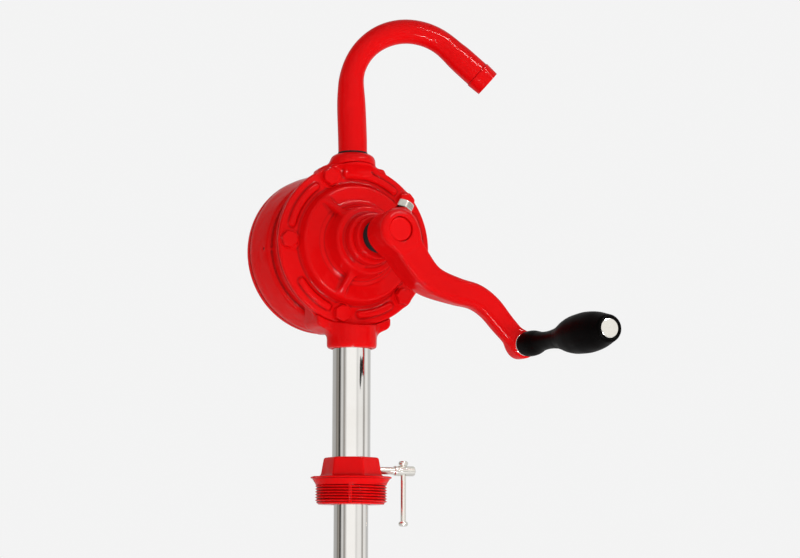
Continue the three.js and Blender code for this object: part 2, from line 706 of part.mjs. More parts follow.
function footStrainer() {
  const socketR = lowerTube.r + 0.2;
  const socketZ = lowerTube.bottomZ - 0.3;
  const floorZ = strainer.bottomZ + strainer.floor;
  const cup = solid(turnedZ([
    [0, strainer.bottomZ], [strainer.r, strainer.bottomZ], [strainer.r, strainer.topZ],
    [socketR, strainer.topZ], [socketR, socketZ], [strainer.boreR, socketZ], [strainer.boreR, floorZ],
    [0, floorZ],
  ]));
  const side = strainer.slotWidth / 2;
  const slots = [];
  for (let i = 0; i < strainer.slots / 2; i += 1) {
    const slot = box([-strainer.r - 1, strainer.r + 1], [-side, side], strainer.slotZ);
    slots.push(solid(slot.rotateZ((Math.PI * 2 * i) / strainer.slots)));
  }
  return cutBy(cup, ...slots);
}

// A rubber ring under the end of one tube that wipes the next tube inside it.
function tubeSeal(outer, inner) {
  const topZ = outer.bottomZ - 0.2;
  return solid(ringZ(inner.r + 0.15, outer.r, topZ - tubeSealHeight, topZ));
}

function suctionTube() {
  const group = new THREE.Group();
  group.add(
    part('upper_tube', tube(upperTube), polishedSteel),
    part('middle_tube', tube(middleTube), polishedSteel),
    part('lower_tube', tube(lowerTube), polishedSteel),
    part('upper_tube_seal', tubeSeal(upperTube, middleTube), blackRubber),
    part('middle_tube_seal', tubeSeal(middleTube, lowerTube), blackRubber),
    part('foot_strainer', footStrainer(), zincPlate),
  );
  return group;
}

// ---------------------------------------------------------------- bung adapter

function threadProfile() {
  const points = [];
  for (let i = 0; i < pipeThread.turns; i += 1) {
    const z = pipeThread.firstZ - i * pipeThread.pitch;
    points.push([pipeThread.rootR, z], [pipeThread.r, z - pipeThread.pitch / 2]);
  }
  points.push([pipeThread.rootR, pipeThread.firstZ - pipeThread.turns * pipeThread.pitch]);
  return points;
}

function bungAdapter() {
  const skirt = turnedZ([
    [0, 0], [adapterFlange.r - 0.5, 0], [adapterFlange.r, -0.5],
    [adapterFlange.r, -adapterFlange.thickness], [adapterFlange.seatR, -adapterFlange.thickness],
    [pipeThread.r, -adapterFlange.undersideHeight], [pipeThread.r, pipeThread.firstZ + 1], ...threadProfile(),
    [pipeThread.rootR - 1, pipeThread.bottomZ], [0, pipeThread.bottomZ],
  ]);
  // A side of the hexagon faces +X, where the clamp screw enters.
  const hexagon = new THREE.CylinderGeometry(hexTop.r, hexR, hexTop.z + 1, 6, 1, false, Math.PI / 6);
  hexagon.rotateX(Math.PI / 2).rotateZ(Math.PI / 2).translate(0, 0, (hexTop.z - 1) / 2);
  const screwHole = rodY(clampScrew.r + clearance, 0, hexR + 4, coarse).rotateZ(-Math.PI / 2);
  return cutBy(
    joined(solid(skirt), solid(hexagon)),
    solid(rodZ(adapterBoreR, pipeThread.bottomZ - 1, hexTop.z + 1)),
    solid(screwHole.translate(0, 0, clampScrew.z)),
  );
}

function clampScrewSolid() {
  const screw = turnedY([
    [0, clampScrew.tipX], [clampScrew.r - 1, clampScrew.tipX], [clampScrew.r, clampScrew.tipX + 1],
    [clampScrew.r, clampScrew.headX], [clampScrew.headR, clampScrew.headX],
    [clampScrew.headR, clampScrew.endX - 1], [clampScrew.headR - 1, clampScrew.endX], [0, clampScrew.endX],
  ], coarse);
  const crossHole = rodZ(tommyBar.r + 0.25, -clampScrew.headR - 1, clampScrew.headR + 1, coarse);
  return cutBy(
    solid(screw.rotateZ(-Math.PI / 2)),
    solid(crossHole.translate(tommyBar.x, 0, 0)),
  ).translate([0, 0, clampScrew.z]);
}

// The bar hangs from its top knob, with its foot knob below the screw's head.
function tommyBarSolid() {
  const top = clampScrew.z + tommyBar.topZ;
  const foot = top - tommyBar.length;
  const half = tommyBar.knobHeight / 2;
  const { r, knobR } = tommyBar;
  return solid(turnedZ([
    [0, foot - half], [knobR - 1, foot - half], [knobR, foot - 1], [knobR, foot + 1],
    [knobR - 1, foot + half], [r, foot + half], [r, top + 1.5], [0, top + 1.5],
  ], coarse).translate(tommyBar.x, 0, 0));
}

function tommyBarKnob() {
  const top = clampScrew.z + tommyBar.topZ;
  const half = tommyBar.knobHeight / 2;
  const { knobR } = tommyBar;
  const boreR = tommyBar.r + 0.15;
  return solid(turnedZ([
    [boreR, top - half + 0.2], [knobR - 0.6, top - half + 0.2], [knobR, top - 1],
    [knobR, top + 1], [knobR - 0.8, top + half], [boreR, top + half],
  ], coarse).translate(tommyBar.x, 0, 0));
}

function adapterGroup() {
  const group = new THREE.Group();
  group.position.z = adapterZ;
  group.add(
    part('bung_adapter', bungAdapter(), redPaint),
    part('clamp_screw', clampScrewSolid(), zincPlate),
    part('tommy_bar', tommyBarSolid(), zincPlate),
    part('tommy_bar_knob', tommyBarKnob(), zincPlate),
  );
  return group;
}

// ---------------------------------------------------------------- assembly

const pump = new THREE.Group();
pump.add(casing(), turningParts(), crank(), spoutGroup(), suctionTube(), adapterGroup());
pump.position.z = -strainer.bottomZ;

export default pump;
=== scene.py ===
# The looks of a rotary hand transfer pump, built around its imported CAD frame.
# Lengths inside the shape functions are millimetres from the point where the shaft's axis crosses the axis
# of the ports: the shaft along Y with the crank at -Y, the ports and the suction tube along Z. Every mesh
# is put into the frame, in metres, when it is made.

import json
import math

import bpy
import numpy as np
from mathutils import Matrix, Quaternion, Vector


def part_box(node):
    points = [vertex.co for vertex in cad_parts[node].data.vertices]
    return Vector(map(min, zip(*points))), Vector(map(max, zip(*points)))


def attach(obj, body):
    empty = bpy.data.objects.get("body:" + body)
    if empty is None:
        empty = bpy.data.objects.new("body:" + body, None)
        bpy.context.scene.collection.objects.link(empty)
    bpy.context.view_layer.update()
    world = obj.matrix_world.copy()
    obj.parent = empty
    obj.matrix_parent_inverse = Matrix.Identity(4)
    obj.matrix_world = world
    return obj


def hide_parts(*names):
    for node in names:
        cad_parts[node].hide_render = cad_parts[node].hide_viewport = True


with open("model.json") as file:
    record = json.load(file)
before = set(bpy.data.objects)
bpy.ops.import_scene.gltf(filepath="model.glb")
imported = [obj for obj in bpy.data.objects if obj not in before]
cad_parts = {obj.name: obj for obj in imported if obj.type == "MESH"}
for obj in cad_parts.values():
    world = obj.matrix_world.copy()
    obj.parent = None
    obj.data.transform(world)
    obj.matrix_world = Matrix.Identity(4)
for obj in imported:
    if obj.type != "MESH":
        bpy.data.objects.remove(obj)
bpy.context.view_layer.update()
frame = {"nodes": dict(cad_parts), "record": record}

MM = 0.001
shaft_low, shaft_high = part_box("shaft")
ORIGIN = Vector((0, 0, (shaft_low.z + shaft_high.z) / 2))


def box_mm(node):
    """A CAD node's lowest and highest corners in millimetres from the shaft's axis."""
    low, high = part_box(node)
    return (low - ORIGIN) / MM, (high - ORIGIN) / MM


# ---------------------------------------------------------------- signed distance fields
# A field is a grid of distances to a shape, negative inside it. Casting fillets come from blurring the
# field and from soft joins, and the surface is then read off the grid as one closed quad mesh.

class Grid:
    """Sample points of a box at one spacing; x, y and z broadcast against each other."""

    def __init__(self, low, high, step):
        self.step = step
        self.axes = [np.arange(a - 4 * step, b + 4 * step, step) for a, b in zip(low, high)]
        self.x = self.axes[0][:, None, None]
        self.y = self.axes[1][None, :, None]
        self.z = self.axes[2][None, None, :]


def line_distance(grid, axis, centre=(0, 0)):
    """Distance to a line along an axis, through the point that its two other coordinates give."""
    u, v = {"x": (grid.y, grid.z), "y": (grid.x, grid.z), "z": (grid.x, grid.y)}[axis]
    return np.sqrt((u - centre[0]) ** 2 + (v - centre[1]) ** 2)


def polygon_distance(outline, u, v):
    """Signed distance of the points (u, v) to a closed outline."""
    points = np.array(outline, float)
    nearest = np.full(np.broadcast(u, v).shape, np.inf)
    inside = np.zeros(nearest.shape, bool)
    for (au, av), (bu, bv) in zip(points, np.roll(points, -1, axis=0)):
        du, dv = bu - au, bv - av
        length = du * du + dv * dv
        if length == 0:
            continue
        t = np.clip(((u - au) * du + (v - av) * dv) / length, 0, 1)
        nearest = np.minimum(nearest, (u - au - t * du) ** 2 + (v - av - t * dv) ** 2)
        crosses = (av > v) != (bv > v)
        if dv != 0:
            inside ^= crosses & (u < au + du * (v - av) / dv)
    return np.where(inside, -1, 1) * np.sqrt(nearest)


def turned(grid, profile, axis="y", centre=(0, 0)):
    """A shape turned about an axis from (radius, along) points, looked up in a fine table."""
    radius = line_distance(grid, axis, centre)
    radius, along = (radius[:, 0, :], grid.axes[1]) if axis == "y" else (radius[:, :, 0], grid.axes[2])
    fine = grid.step / 3
    table_r = np.arange(0, radius.max() + 2 * fine, fine)
    mirrored = [(-r, a) for r, a in reversed(profile)] if min(r for r, _ in profile) == 0 else []
    table = polygon_distance(list(profile) + mirrored, table_r[:, None], along[None, :])
    at = radius / fine
    low = at.astype(int)
    part = (at - low)[..., None]
    field = table[low] * (1 - part) + table[low + 1] * part
    return np.swapaxes(field, 1, 2) if axis == "y" else field


def prism(grid, outline, low, high):
    """An outline in X and Z, run along Y from low to high."""
    return intersect(polygon_distance(outline, grid.x, grid.z), slab(grid.y, low, high))


def slab(w, low, high):
    """The space between two parallel planes."""
    return np.abs(w - (low + high) / 2) - (high - low) / 2


def join(first, *others, soft=0.0):
    """Union; soft is the size of the fillet where shapes meet."""
    for other in others:
        if soft:
            near = np.maximum(soft - np.abs(first - other), 0) / soft
            first = np.minimum(first, other) - near * near * soft / 4
        else:
            first = np.minimum(first, other)
    return first


def intersect(first, *others, soft=0.0):
    """The space that all the shapes share."""
    return -join(-first, *[-other for other in others], soft=soft)


def cut(first, *tools, soft=0.0):
    """The first shape without the others."""
    return intersect(first, *[-tool for tool in tools], soft=soft)


def rounded(field, step, radius):
    """Blurs a field, which rounds its edges and corners by about the radius."""
    passes = max(1, round((radius / step) ** 2 * 0.9))
    for _ in range(passes):
        for axis in range(3):
            moved = np.moveaxis(field, axis, 0)
            inner = moved[1:-1] * 0.5 + (moved[:-2] + moved[2:]) * 0.25
            moved = np.concatenate([moved[:1], inner, moved[-1:]])
            field = np.moveaxis(moved, 0, axis)
    return field


def surface(name, grid, field):
    """The field's zero surface as a smooth-shaded quad mesh (a surface net), in metres."""
    field = np.ascontiguousarray(np.broadcast_to(field, [len(a) for a in grid.axes]))
    cells = np.array(field.shape) - 1
    stride = np.array([cells[1] * cells[2], cells[2], 1])
    total = np.zeros((3, cells.prod()))
    count = np.zeros(cells.prod())
    rings = []
    for axis in range(3):
        lower = np.moveaxis(field, axis, 0)[:-1]
        upper = np.moveaxis(field, axis, 0)[1:]
        hit = np.moveaxis((lower < 0) != (upper < 0), 0, axis)
        at = np.array(np.nonzero(hit))
        a = field[tuple(at)]
        step = np.eye(3, dtype=int)[axis]
        b = field[tuple(at + step[:, None])]
        where = at + step[:, None] * (a / (a - b))
        others = [(axis + 1) % 3, (axis + 2) % 3]
        ring = []
        for back_u, back_v in ((1, 1), (0, 1), (0, 0), (1, 0)):
            cell = at.copy()
            cell[others[0]] -= back_u
            cell[others[1]] -= back_v
            flat = (cell * stride[:, None]).sum(0)
            ring.append(flat)
            for k in range(3):
                total[k] += np.bincount(flat, where[k], minlength=len(count))
            count += np.bincount(flat, minlength=len(count))
        ring = np.array(ring).T
        ring[a > 0] = ring[a > 0][:, ::-1]
        rings.append(ring)
    used = np.nonzero(count)[0]
    number = np.full(len(count), -1)
    number[used] = np.arange(len(used))
    points = (total[:, used] / count[used]).T * grid.step + [a[0] for a in grid.axes]
    return mesh_object(name, points, number[np.concatenate(rings)])


def mesh_object(name, points, faces):
    """A mesh object from points in millimetres and faces of one size."""
    points = np.asarray(points, float) * MM + np.array(ORIGIN)
    faces = np.asarray(faces)
    mesh = bpy.data.meshes.new(name)
    mesh.vertices.add(len(points))
    mesh.vertices.foreach_set("co", points.astype(np.float32).ravel())
    mesh.loops.add(faces.size)
    mesh.loops.foreach_set("vertex_index", faces.astype(np.int32).ravel())
    mesh.polygons.add(len(faces))
    size = faces.shape[1]
    mesh.polygons.foreach_set("loop_start", np.arange(0, faces.size, size, dtype=np.int32))
    mesh.polygons.foreach_set("loop_total", np.full(len(faces), size, np.int32))
    mesh.polygons.foreach_set("use_smooth", np.ones(len(faces), bool))
    mesh.update(calc_edges=True)
    mesh.validate()
    result = bpy.data.objects.new(name, mesh)
    bpy.context.scene.collection.objects.link(result)
    return result


# ---------------------------------------------------------------- materials

class Nodes:
    """Shorthand for building a material's node tree."""

    def __init__(self, name):
        self.material = bpy.data.materials.new(name)
        self.material.use_nodes = True
        self.tree = self.material.node_tree
        self.shader = self.tree.nodes["Principled BSDF"]

    def set(self, **values):
        for key, value in values.items():
            self.feed(self.shader.inputs[key.replace("_", " ")], value)

    def feed(self, socket, value):
        if isinstance(value, bpy.types.NodeSocket):
            self.tree.links.new(value, socket)
        elif isinstance(value, tuple) and len(value) == 3 and socket.type == "RGBA":
            socket.default_value = (*value, 1)
        else:
            socket.default_value = value

    def add(self, kind, inputs=None, **settings):
        node = self.tree.nodes.new(kind)
        for key, value in settings.items():
            setattr(node, key, value)
        for key, value in (inputs or {}).items():
            self.feed(node.inputs[key], value)
        return node

    def place(self, scale=(1, 1, 1)):
        coordinates = self.add("ShaderNodeTexCoord").outputs["Object"]
        return self.add("ShaderNodeMapping", {"Vector": coordinates, "Scale": scale}).outputs[0]

    def noise(self, scale, detail=3.0, rough=0.5, where=None):
        inputs = {"Scale": scale, "Detail": detail, "Roughness": rough, "Vector": where or self.place()}
        return self.add("ShaderNodeTexNoise", inputs).outputs["Fac"]

    def ramp(self, value, low, high, to=(0.0, 1.0)):
        inputs = {"Value": value, "From Min": low, "From Max": high, "To Min": to[0], "To Max": to[1]}
        return self.add("ShaderNodeMapRange", inputs, clamp=True).outputs[0]

    def mix(self, factor, a, b):
        node = self.add("ShaderNodeMix", data_type="RGBA")
        self.feed(node.inputs["Factor"], factor)
        self.feed(node.inputs[6], a)
        self.feed(node.inputs[7], b)
        return node.outputs[2]

    def maths(self, operation, a, b):
        return self.add("ShaderNodeMath", {0: a, 1: b}, operation=operation).outputs[0]

    def bump(self, height, distance, normal=None):
        inputs = {"Height": height, "Distance": distance, "Strength": 1.0}
        if normal:
            inputs["Normal"] = normal
        return self.add("ShaderNodeBump", inputs).outputs[0]

    def convexity(self, low, high):
        """How proud a place is, from 0 below low to 1 above high, where 0.5 is flat; needs a dense mesh."""
        return self.ramp(self.add("ShaderNodeNewGeometry").outputs["Pointiness"], low, high)


PAINT_DEEP, PAINT_BRIGHT = (0.75, 0.003, 0.004), (0.82, 0.004, 0.005)
# Painted shade: a near-black red that stands in for the shade that falls in creases and hollows.
PAINTED_CREVICE_SHADE = (0.14, 0.001, 0.001)
PAINT_ON_GASKET = (0.45, 0.003, 0.004)
PAINT_SHINE = 0.06


def red_paint():
    m = Nodes("red_enamel")
    swell = m.noise(60, 2)
    grain = m.noise(520, 3)
    peel = m.noise(1500, 1)
    tone = m.mix(m.noise(28, 4, 0.6), PAINT_DEEP, PAINT_BRIGHT)
    # Painted shade: the red is darkened towards near black in creases and hollows, found from the mesh's
    # pointiness.
    crevice_shade = m.convexity(0.468, 0.496)
    colour = m.mix(crevice_shade, PAINTED_CREVICE_SHADE, tone)
    normal = m.bump(swell, 0.0012)
    normal = m.bump(grain, 0.00012, normal)
    normal = m.bump(peel, 0.00003, normal)
    rough = m.ramp(m.noise(140, 3), 0.3, 0.7, (0.06, 0.11))
    m.set(Base_Color=colour, Roughness=rough, Normal=normal, Specular_IOR_Level=PAINT_SHINE)
    return m.material


def polished_tube():
    m = Nodes("polished_tube_steel")
    drawn = m.noise(60, 4, 0.6, m.place((30, 30, 0.6)))
    cloud = m.noise(35, 3)
    colour = m.mix(cloud, (0.80, 0.79, 0.76), (0.90, 0.90, 0.89))
    rough = m.ramp(drawn, 0.3, 0.7, (0.04, 0.09))
    m.set(Base_Color=colour, Metallic=1.0, Roughness=rough, Normal=m.bump(drawn, 0.00002))
    return m.material


def zinc_plate():
    m = Nodes("zinc_plated_steel")
    spangle = m.noise(420, 4, 0.65)
    colour = m.mix(spangle, (0.80, 0.77, 0.70), (0.92, 0.91, 0.87))
    rough = m.ramp(m.noise(900, 3), 0.3, 0.7, (0.10, 0.20))
    m.set(Base_Color=colour, Metallic=1.0, Roughness=rough, Normal=m.bump(spangle, 0.00002))
    return m.material


def black_grip():
    m = Nodes("black_grip_lacquer")
    sheen = m.noise(90, 3)
    rough = m.ramp(sheen, 0.3, 0.7, (0.34, 0.46))
    colour = m.mix(sheen, (0.001, 0.001, 0.001), (0.003, 0.002, 0.002))
    normal = m.bump(m.noise(700, 2), 0.00003, m.bump(m.noise(45, 2), 0.0004))
    m.set(Base_Color=colour, Roughness=rough, Normal=normal, Specular_IOR_Level=0.02)
    return m.material


def plain_metal(name, dark, light, rough, metallic=1.0):
    m = Nodes(name)
    grain = m.noise(300, 4, 0.6)
    spread = m.ramp(grain, 0.3, 0.7, (rough * 0.75, rough * 1.25))
    m.set(Base_Color=m.mix(grain, dark, light), Metallic=metallic, Roughness=spread)
    m.set(Normal=m.bump(grain, 0.00006))
    return m.material


def shaft_steel():
    """Turned steel, with the paint of the crank run over the end that shows in its hub."""
    m = Nodes("turned_steel")
    where = m.add("ShaderNodeTexCoord").outputs["Object"]
    y = m.add("ShaderNodeSeparateXYZ", {0: where}).outputs[1]
    edge = m.maths("ADD", y, m.maths("MULTIPLY", m.noise(300, 3), 0.002))
    painted = m.ramp(edge, -0.0925, -0.0935)
    rings = m.noise(40, 3, 0.6, m.place((1, 30, 1)))
    colour = m.mix(painted, m.mix(rings, (0.34, 0.33, 0.32), (0.52, 0.51, 0.50)), PAINT_BRIGHT)
    metallic = m.ramp(painted, 0, 1, (1.0, 0.0))
    shine = m.ramp(painted, 0, 1, (0.5, PAINT_SHINE))
    m.set(Base_Color=colour, Metallic=metallic, Specular_IOR_Level=shine)
    m.set(Roughness=m.ramp(rings, 0.3, 0.7, (0.24, 0.40)))
    m.set(Normal=m.bump(m.noise(420, 3), 0.00008))
    return m.material


def seal_rubber():
    m = Nodes("seal_rubber")
    grain = m.noise(800, 4, 0.6)
    colour = m.mix(m.noise(60, 3), (0.010, 0.010, 0.011), (0.024, 0.023, 0.023))
    m.set(Base_Color=colour, Roughness=m.ramp(grain, 0.3, 0.7, (0.63, 0.87)), Specular_IOR_Level=0.12)
    m.set(Normal=m.bump(grain, 0.00008))
    return m.material


def gasket_fibre():
    """Pressed fibre whose outer edge carries the casing's paint."""
    m = Nodes("pressed_fibre")
    where = m.add("ShaderNodeTexCoord").outputs["Object"]
    split = m.add("ShaderNodeSeparateXYZ", {0: where})
    z = m.maths("SUBTRACT", split.outputs[2], ORIGIN.z)
    square = m.maths("ADD", m.maths("POWER", split.outputs[0], 2.0), m.maths("POWER", z, 2.0))
    r = m.maths("SQRT", square, 0.0)
    painted = m.ramp(r, 0.0660, 0.0665)
    fibre = m.mix(m.noise(900, 5, 0.7), (0.05, 0.055, 0.05), (0.11, 0.12, 0.11))
    m.set(Base_Color=m.mix(painted, fibre, PAINT_ON_GASKET), Specular_IOR_Level=0.12)
    m.set(Roughness=m.ramp(m.noise(500, 3), 0.3, 0.7, (0.5, 0.8)))
    m.set(Normal=m.bump(m.noise(1200, 3), 0.00005))
    return m.material


# ---------------------------------------------------------------- cast parts

BODY_STEP = 0.8
COVER_STEP = 0.6
SMALL_STEP = 0.4
CAST_ROUNDING = 1.1
MACHINED_ROUNDING = 0.5

body_low, body_high = box_mm("pump_body")
cover_low, cover_high = box_mm("front_cover")
rear_low, rear_high = box_mm("rear_cover")
rim_r = cover_high.x
drum_r = rear_high.x + 0.4
body_front = -1.0
body_back = body_high.y
waist_r = 60.0
BOLT_ANGLES = (180, 113, 41, -44, -102)
BOLT_CIRCLE_R = 60.5
REAR_CIRCLE_R = 57.0
ARC_RIB_TOP = -9.1
ARC_RIB_SPANS = ((128, 166), (54, 98), (-2, 27), (-86, -58), (-145, -115))
BOSS_R = 19.4
INLET_R = 21
COVER_BORE_R = 13.1
CHAMBER_X, CHAMBER_R = 4, 46
PLUG_X, PLUG_Y, PLUG_Z, PLUG_R = -66.2, 37, -1.7, 3
WEB_HALF = 2.6
tube_r = box_mm("upper_tube")[1].x
boss_top, boss_bottom = body_high.z, body_low.z


def around(angle, r):
    """X and Z of a point around the shaft, by its angle from +X seen from the front."""
    return r * math.cos(math.radians(angle)), r * math.sin(math.radians(angle))


def at_bolts(grid, profile, circle_r=BOLT_CIRCLE_R):
    """The same small turned shape at each of a cover's bolts."""
    return join(*[turned(grid, profile, "y", around(a, circle_r)) for a in BOLT_ANGLES])


def bolt_holes(grid, low, high, circle_r=BOLT_CIRCLE_R):
    return at_bolts(grid, [(0, low), (4.2, low), (4.2, high), (0, high)], circle_r)


def pump_body():
    grid = Grid(body_low, body_high, BODY_STEP)
    shell = turned(grid, [
        (0, body_front), (rim_r, body_front), (rim_r, 2.6), (waist_r + 3, 4), (waist_r, 7), (waist_r, 29.5),
        (waist_r + 0.6, 31.2), (63.8, 31.5), (64.4, 32.4), (66.2, 41), (drum_r - 0.2, 54.8), (drum_r, 57),
        (drum_r, body_back), (0, body_back)])
    inlet = prism(grid, [(-33.5, -45), (-33.5, -67), (-31, -70), (-INLET_R, -74.5), (INLET_R, -74.5),
                         (31, -70), (33.5, -67), (33.5, -45)], -6, 24)
    pad = prism(grid, [(-31, 45), (-31, 62.5), (-26, 66.3), (-BOSS_R, 68.5), (BOSS_R, 68.5), (29.4, 67.4),
                       (31, 63.5), (31, 45)], body_front, 14)
    outlet_boss = turned(grid, [(0, 28), (BOSS_R, 28), (BOSS_R, boss_top - 6), (BOSS_R - 1, boss_top - 2.8),
                                (BOSS_R - 3.4, boss_top - 0.8), (BOSS_R - 6, boss_top), (0, boss_top)], "z")
    inlet_boss = turned(grid, [(0, -32), (INLET_R, -32), (INLET_R, boss_bottom + 2),
                               (INLET_R - 0.6, boss_bottom + 0.6), (INLET_R - 2, boss_bottom),
                               (0, boss_bottom)], "z")
    parting = intersect(shell - 0.5, slab(grid.z + 3, -0.7, 0.7), slab(grid.y, 4, body_back - 4))
    field = join(shell, inlet, pad, soft=4)
    field = join(field, outlet_boss, inlet_boss, soft=5)
    plug_r = line_distance(grid, "x", (PLUG_Y, PLUG_Z))
    plug = intersect(plug_r - PLUG_R, slab(grid.x, PLUG_X, -60), soft=0.8)
    field = join(field, parting, plug, soft=0.8)
    field = cut(field, intersect(plug_r - 1.6, grid.x - PLUG_X - 1.8))
    chamber = line_distance(grid, "y", (CHAMBER_X, 0)) - CHAMBER_R
    cover_seat = intersect(line_distance(grid, "y") - rim_r - 0.35, grid.y - body_front)
    port_r = line_distance(grid, "z")
    tube_socket = intersect(port_r - tube_r - 0.5, grid.z + 73.5)
    spout_socket = intersect(port_r - 12.5, 69.8 - grid.z)
    passage = intersect(line_distance(grid, "z", (0, 9)) - 8.6, slab(grid.z, -74, 71))
    hollow = join(chamber, tube_socket, spout_socket, passage)
    field = cut(rounded(field, BODY_STEP, CAST_ROUNDING), cover_seat, hollow,
                bolt_holes(grid, -4, 3.5), bolt_holes(grid, 40.5, body_back + 3, REAR_CIRCLE_R))
    return surface("pump_body_casting", grid, rounded(field, BODY_STEP, MACHINED_ROUNDING))


def arc_rib(grid, start, end):
    """A raised arc with round ends between two cover bolts."""
    middle, half = 59.2, 2.7
    angle = np.degrees(np.arctan2(grid.z, grid.x))
    off = (angle - (start + end) / 2 + 180) % 360 - 180
    held = np.radians(np.clip(off, (start - end) / 2, (end - start) / 2) + (start + end) / 2)
    across = np.sqrt((grid.x - middle * np.cos(held)) ** 2 + (grid.z - middle * np.sin(held)) ** 2) - half
    return intersect(across, slab(grid.y, ARC_RIB_TOP, -5), soft=1.5)


def web(grid, angle, top_r, top_y):
    """A web from the stuffing box down to the edge of the raised disc."""
    c, s = math.cos(math.radians(angle)), math.sin(math.radians(angle))
    out = grid.x * c + grid.z * s
    side = -grid.x * s + grid.z * c
    profile = polygon_distance([(20, -10), (20, top_y), (top_r, top_y), (top_r + 3, top_y + 3.5),
                                (47.5, -15.5), (48, -10)], out, grid.y)
    return intersect(profile, np.abs(side) - WEB_HALF, soft=1.5)


def front_cover():
    grid = Grid(cover_low, cover_high, COVER_STEP)
    back = cover_high.y
    nose = cover_low.y
    plate = turned(grid, [
        (0, back), (rim_r, back), (rim_r, -5.2), (rim_r - 1.2, -6.5), (52.5, -6.5), (51, -8), (49.2, -13.5),
        (47.6, -14.7), (36, -15), (32.5, -16.5), (30.6, -20), (28.6, -33), (27.4, -34.2), (23.2, -34.4),
        (21.7, -36), (21.4, nose + 0.8), (20.6, nose), (0, nose)])
    ribs = [arc_rib(grid, *span) for span in ARC_RIB_SPANS]
    webs = [web(grid, 131, 28, -31), web(grid, 10, 28, -31), web(grid, -111, 22.5, -33.6)]
    r = line_distance(grid, "y")
    boss = turned(grid, [(0, 59), (6, 59), (BOSS_R, 66.5), (BOSS_R, 74), (0, 74)], "z")
    boss = intersect(boss, grid.y + 4, np.broadcast_to(r, boss.shape) - rim_r)
    field = join(plate, *ribs, soft=1.8)
    field = join(field, boss, soft=7)
    field = join(field, *webs, soft=4)
    field = join(field, at_bolts(grid, [(0, -3), (8.6, -3), (8.6, -6.9), (0, -6.9)]), soft=1.5)
    head_room = at_bolts(grid, [(0, -40), (8.2, -40), (8.2, -6.9), (0, -6.9)])
    field = cut(rounded(field, COVER_STEP, CAST_ROUNDING * 0.8), head_room, soft=1.0)
    bore = join(r - COVER_BORE_R, intersect(r - 15.2, grid.y + 19.5))
    return surface("front_cover_casting", grid, cut(field, bore, bolt_holes(grid, -12, 2)))


def rear_cover():
    grid = Grid(rear_low, rear_high, BODY_STEP)
    front, back, face = rear_low.y, rear_high.y, 69.5
    plate = turned(grid, [
        (0, front), (drum_r, front), (drum_r, face - 1.4), (drum_r - 1.6, face), (52, face), (50, face - 1.6),
        (28, face - 1.6), (24, face), (20.5, back - 2), (18.5, back), (0, back)])
    r = line_distance(grid, "y")
    pads = at_bolts(grid, [(0, 66), (9, 66), (9, face + 0.1), (0, face + 0.1)], REAR_CIRCLE_R)
    spokes = [intersect(np.abs(grid.x * math.sin(t) - grid.z * math.cos(t)) - 2.5,
                        17 - (grid.x * math.cos(t) + grid.z * math.sin(t)), r - 54, slab(grid.y, 66, face))
              for t in (math.radians(a + 36) for a in BOLT_ANGLES)]
    field = rounded(join(plate, pads, *spokes, soft=2), BODY_STEP, CAST_ROUNDING * 0.8)
    bore = intersect(r - COVER_BORE_R, grid.y - 73.5)
    return surface("rear_cover_casting", grid, cut(field, bore, bolt_holes(grid, 60, 72, REAR_CIRCLE_R)))


# ---------------------------------------------------------------- turned pieces

CORNER_STEPS = 4
HAIR = 0.004


def round_corners(profile, size):
    """Replaces each corner of a closed profile by a short arc."""
    points = [Vector(p) for p in profile]
    result = []
    for before, at, after in zip(points[-1:] + points[:-1], points, points[1:] + points[:1]):
        reach = min(size, (before - at).length * 0.45, (after - at).length * 0.45)
        start = at + (before - at).normalized() * reach
        end = at + (after - at).normalized() * reach
        for i in range(CORNER_STEPS + 1):
            t = i / CORNER_STEPS
            result.append(tuple(start * (1 - t) ** 2 + at * 2 * t * (1 - t) + end * t * t))
    return result


def outward(obj):
    """Turns a closed mesh's faces outward."""
    mesh = obj.data
    corners = np.empty(len(mesh.vertices) * 3, np.float32)
    mesh.vertices.foreach_get("co", corners)
    corners = corners.reshape(-1, 3).astype(float)
    corners -= corners.mean(0)
    mesh.calc_loop_triangles()
    triangles = np.empty(len(mesh.loop_triangles) * 3, np.int32)
    mesh.loop_triangles.foreach_get("vertices", triangles)
    a, b, c = (corners[triangles[k::3]] for k in range(3))
    if (a * np.cross(b, c)).sum() < 0:
        mesh.flip_normals()
    return obj


def ring_faces(rows, around_count):
    """Quads between rows of a grid of points that closes on itself both ways."""
    i, k = np.meshgrid(np.arange(rows), np.arange(around_count), indexing="ij")
    after_i, after_k = (i + 1) % rows, (k + 1) % around_count
    corners = [i * around_count + k, after_i * around_count + k,
               after_i * around_count + after_k, i * around_count + after_k]
    return np.stack([c.ravel() for c in corners], -1)


def lathe(name, profile, axis, bevel=0.0, centre=(0, 0), segments=96):
    """A closed ring turned about an axis from (radius, along) points, with its corners rounded."""
    points = round_corners(profile, bevel) if bevel else list(profile)
    turn = np.linspace(0, 2 * math.pi, segments, endpoint=False)
    r = np.array([p[0] for p in points])[:, None]
    along = np.array([p[1] for p in points])[:, None] + 0 * turn
    c, s = r * np.cos(turn) + centre[0], r * np.sin(turn) + centre[1]
    rows = {"x": (along, c, s), "y": (c, along, s), "z": (c, s, along)}[axis]
    vertices = np.stack(rows, -1).reshape(-1, 3)
    return outward(mesh_object(name, vertices, ring_faces(len(points), segments)))


def dense(profile, spacing):
    """Adds points along a closed profile's longer edges."""
    result = []
    for (r0, a0), (r1, a1) in zip(profile, profile[1:] + profile[:1]):
        count = max(1, round(math.hypot(r1 - r0, a1 - a0) / spacing))
        result += [(r0 + (r1 - r0) * i / count, a0 + (a1 - a0) * i / count) for i in range(count)]
    return result


def rod(name, profile, axis, bevel, centre):
    """A turned piece with solid ends: its profile runs to a hair's breadth from the axis."""
    first, last = profile[0][1], profile[-1][1]
    return lathe(name, [(HAIR, first), *profile, (HAIR, last)], axis, bevel, centre, 64)


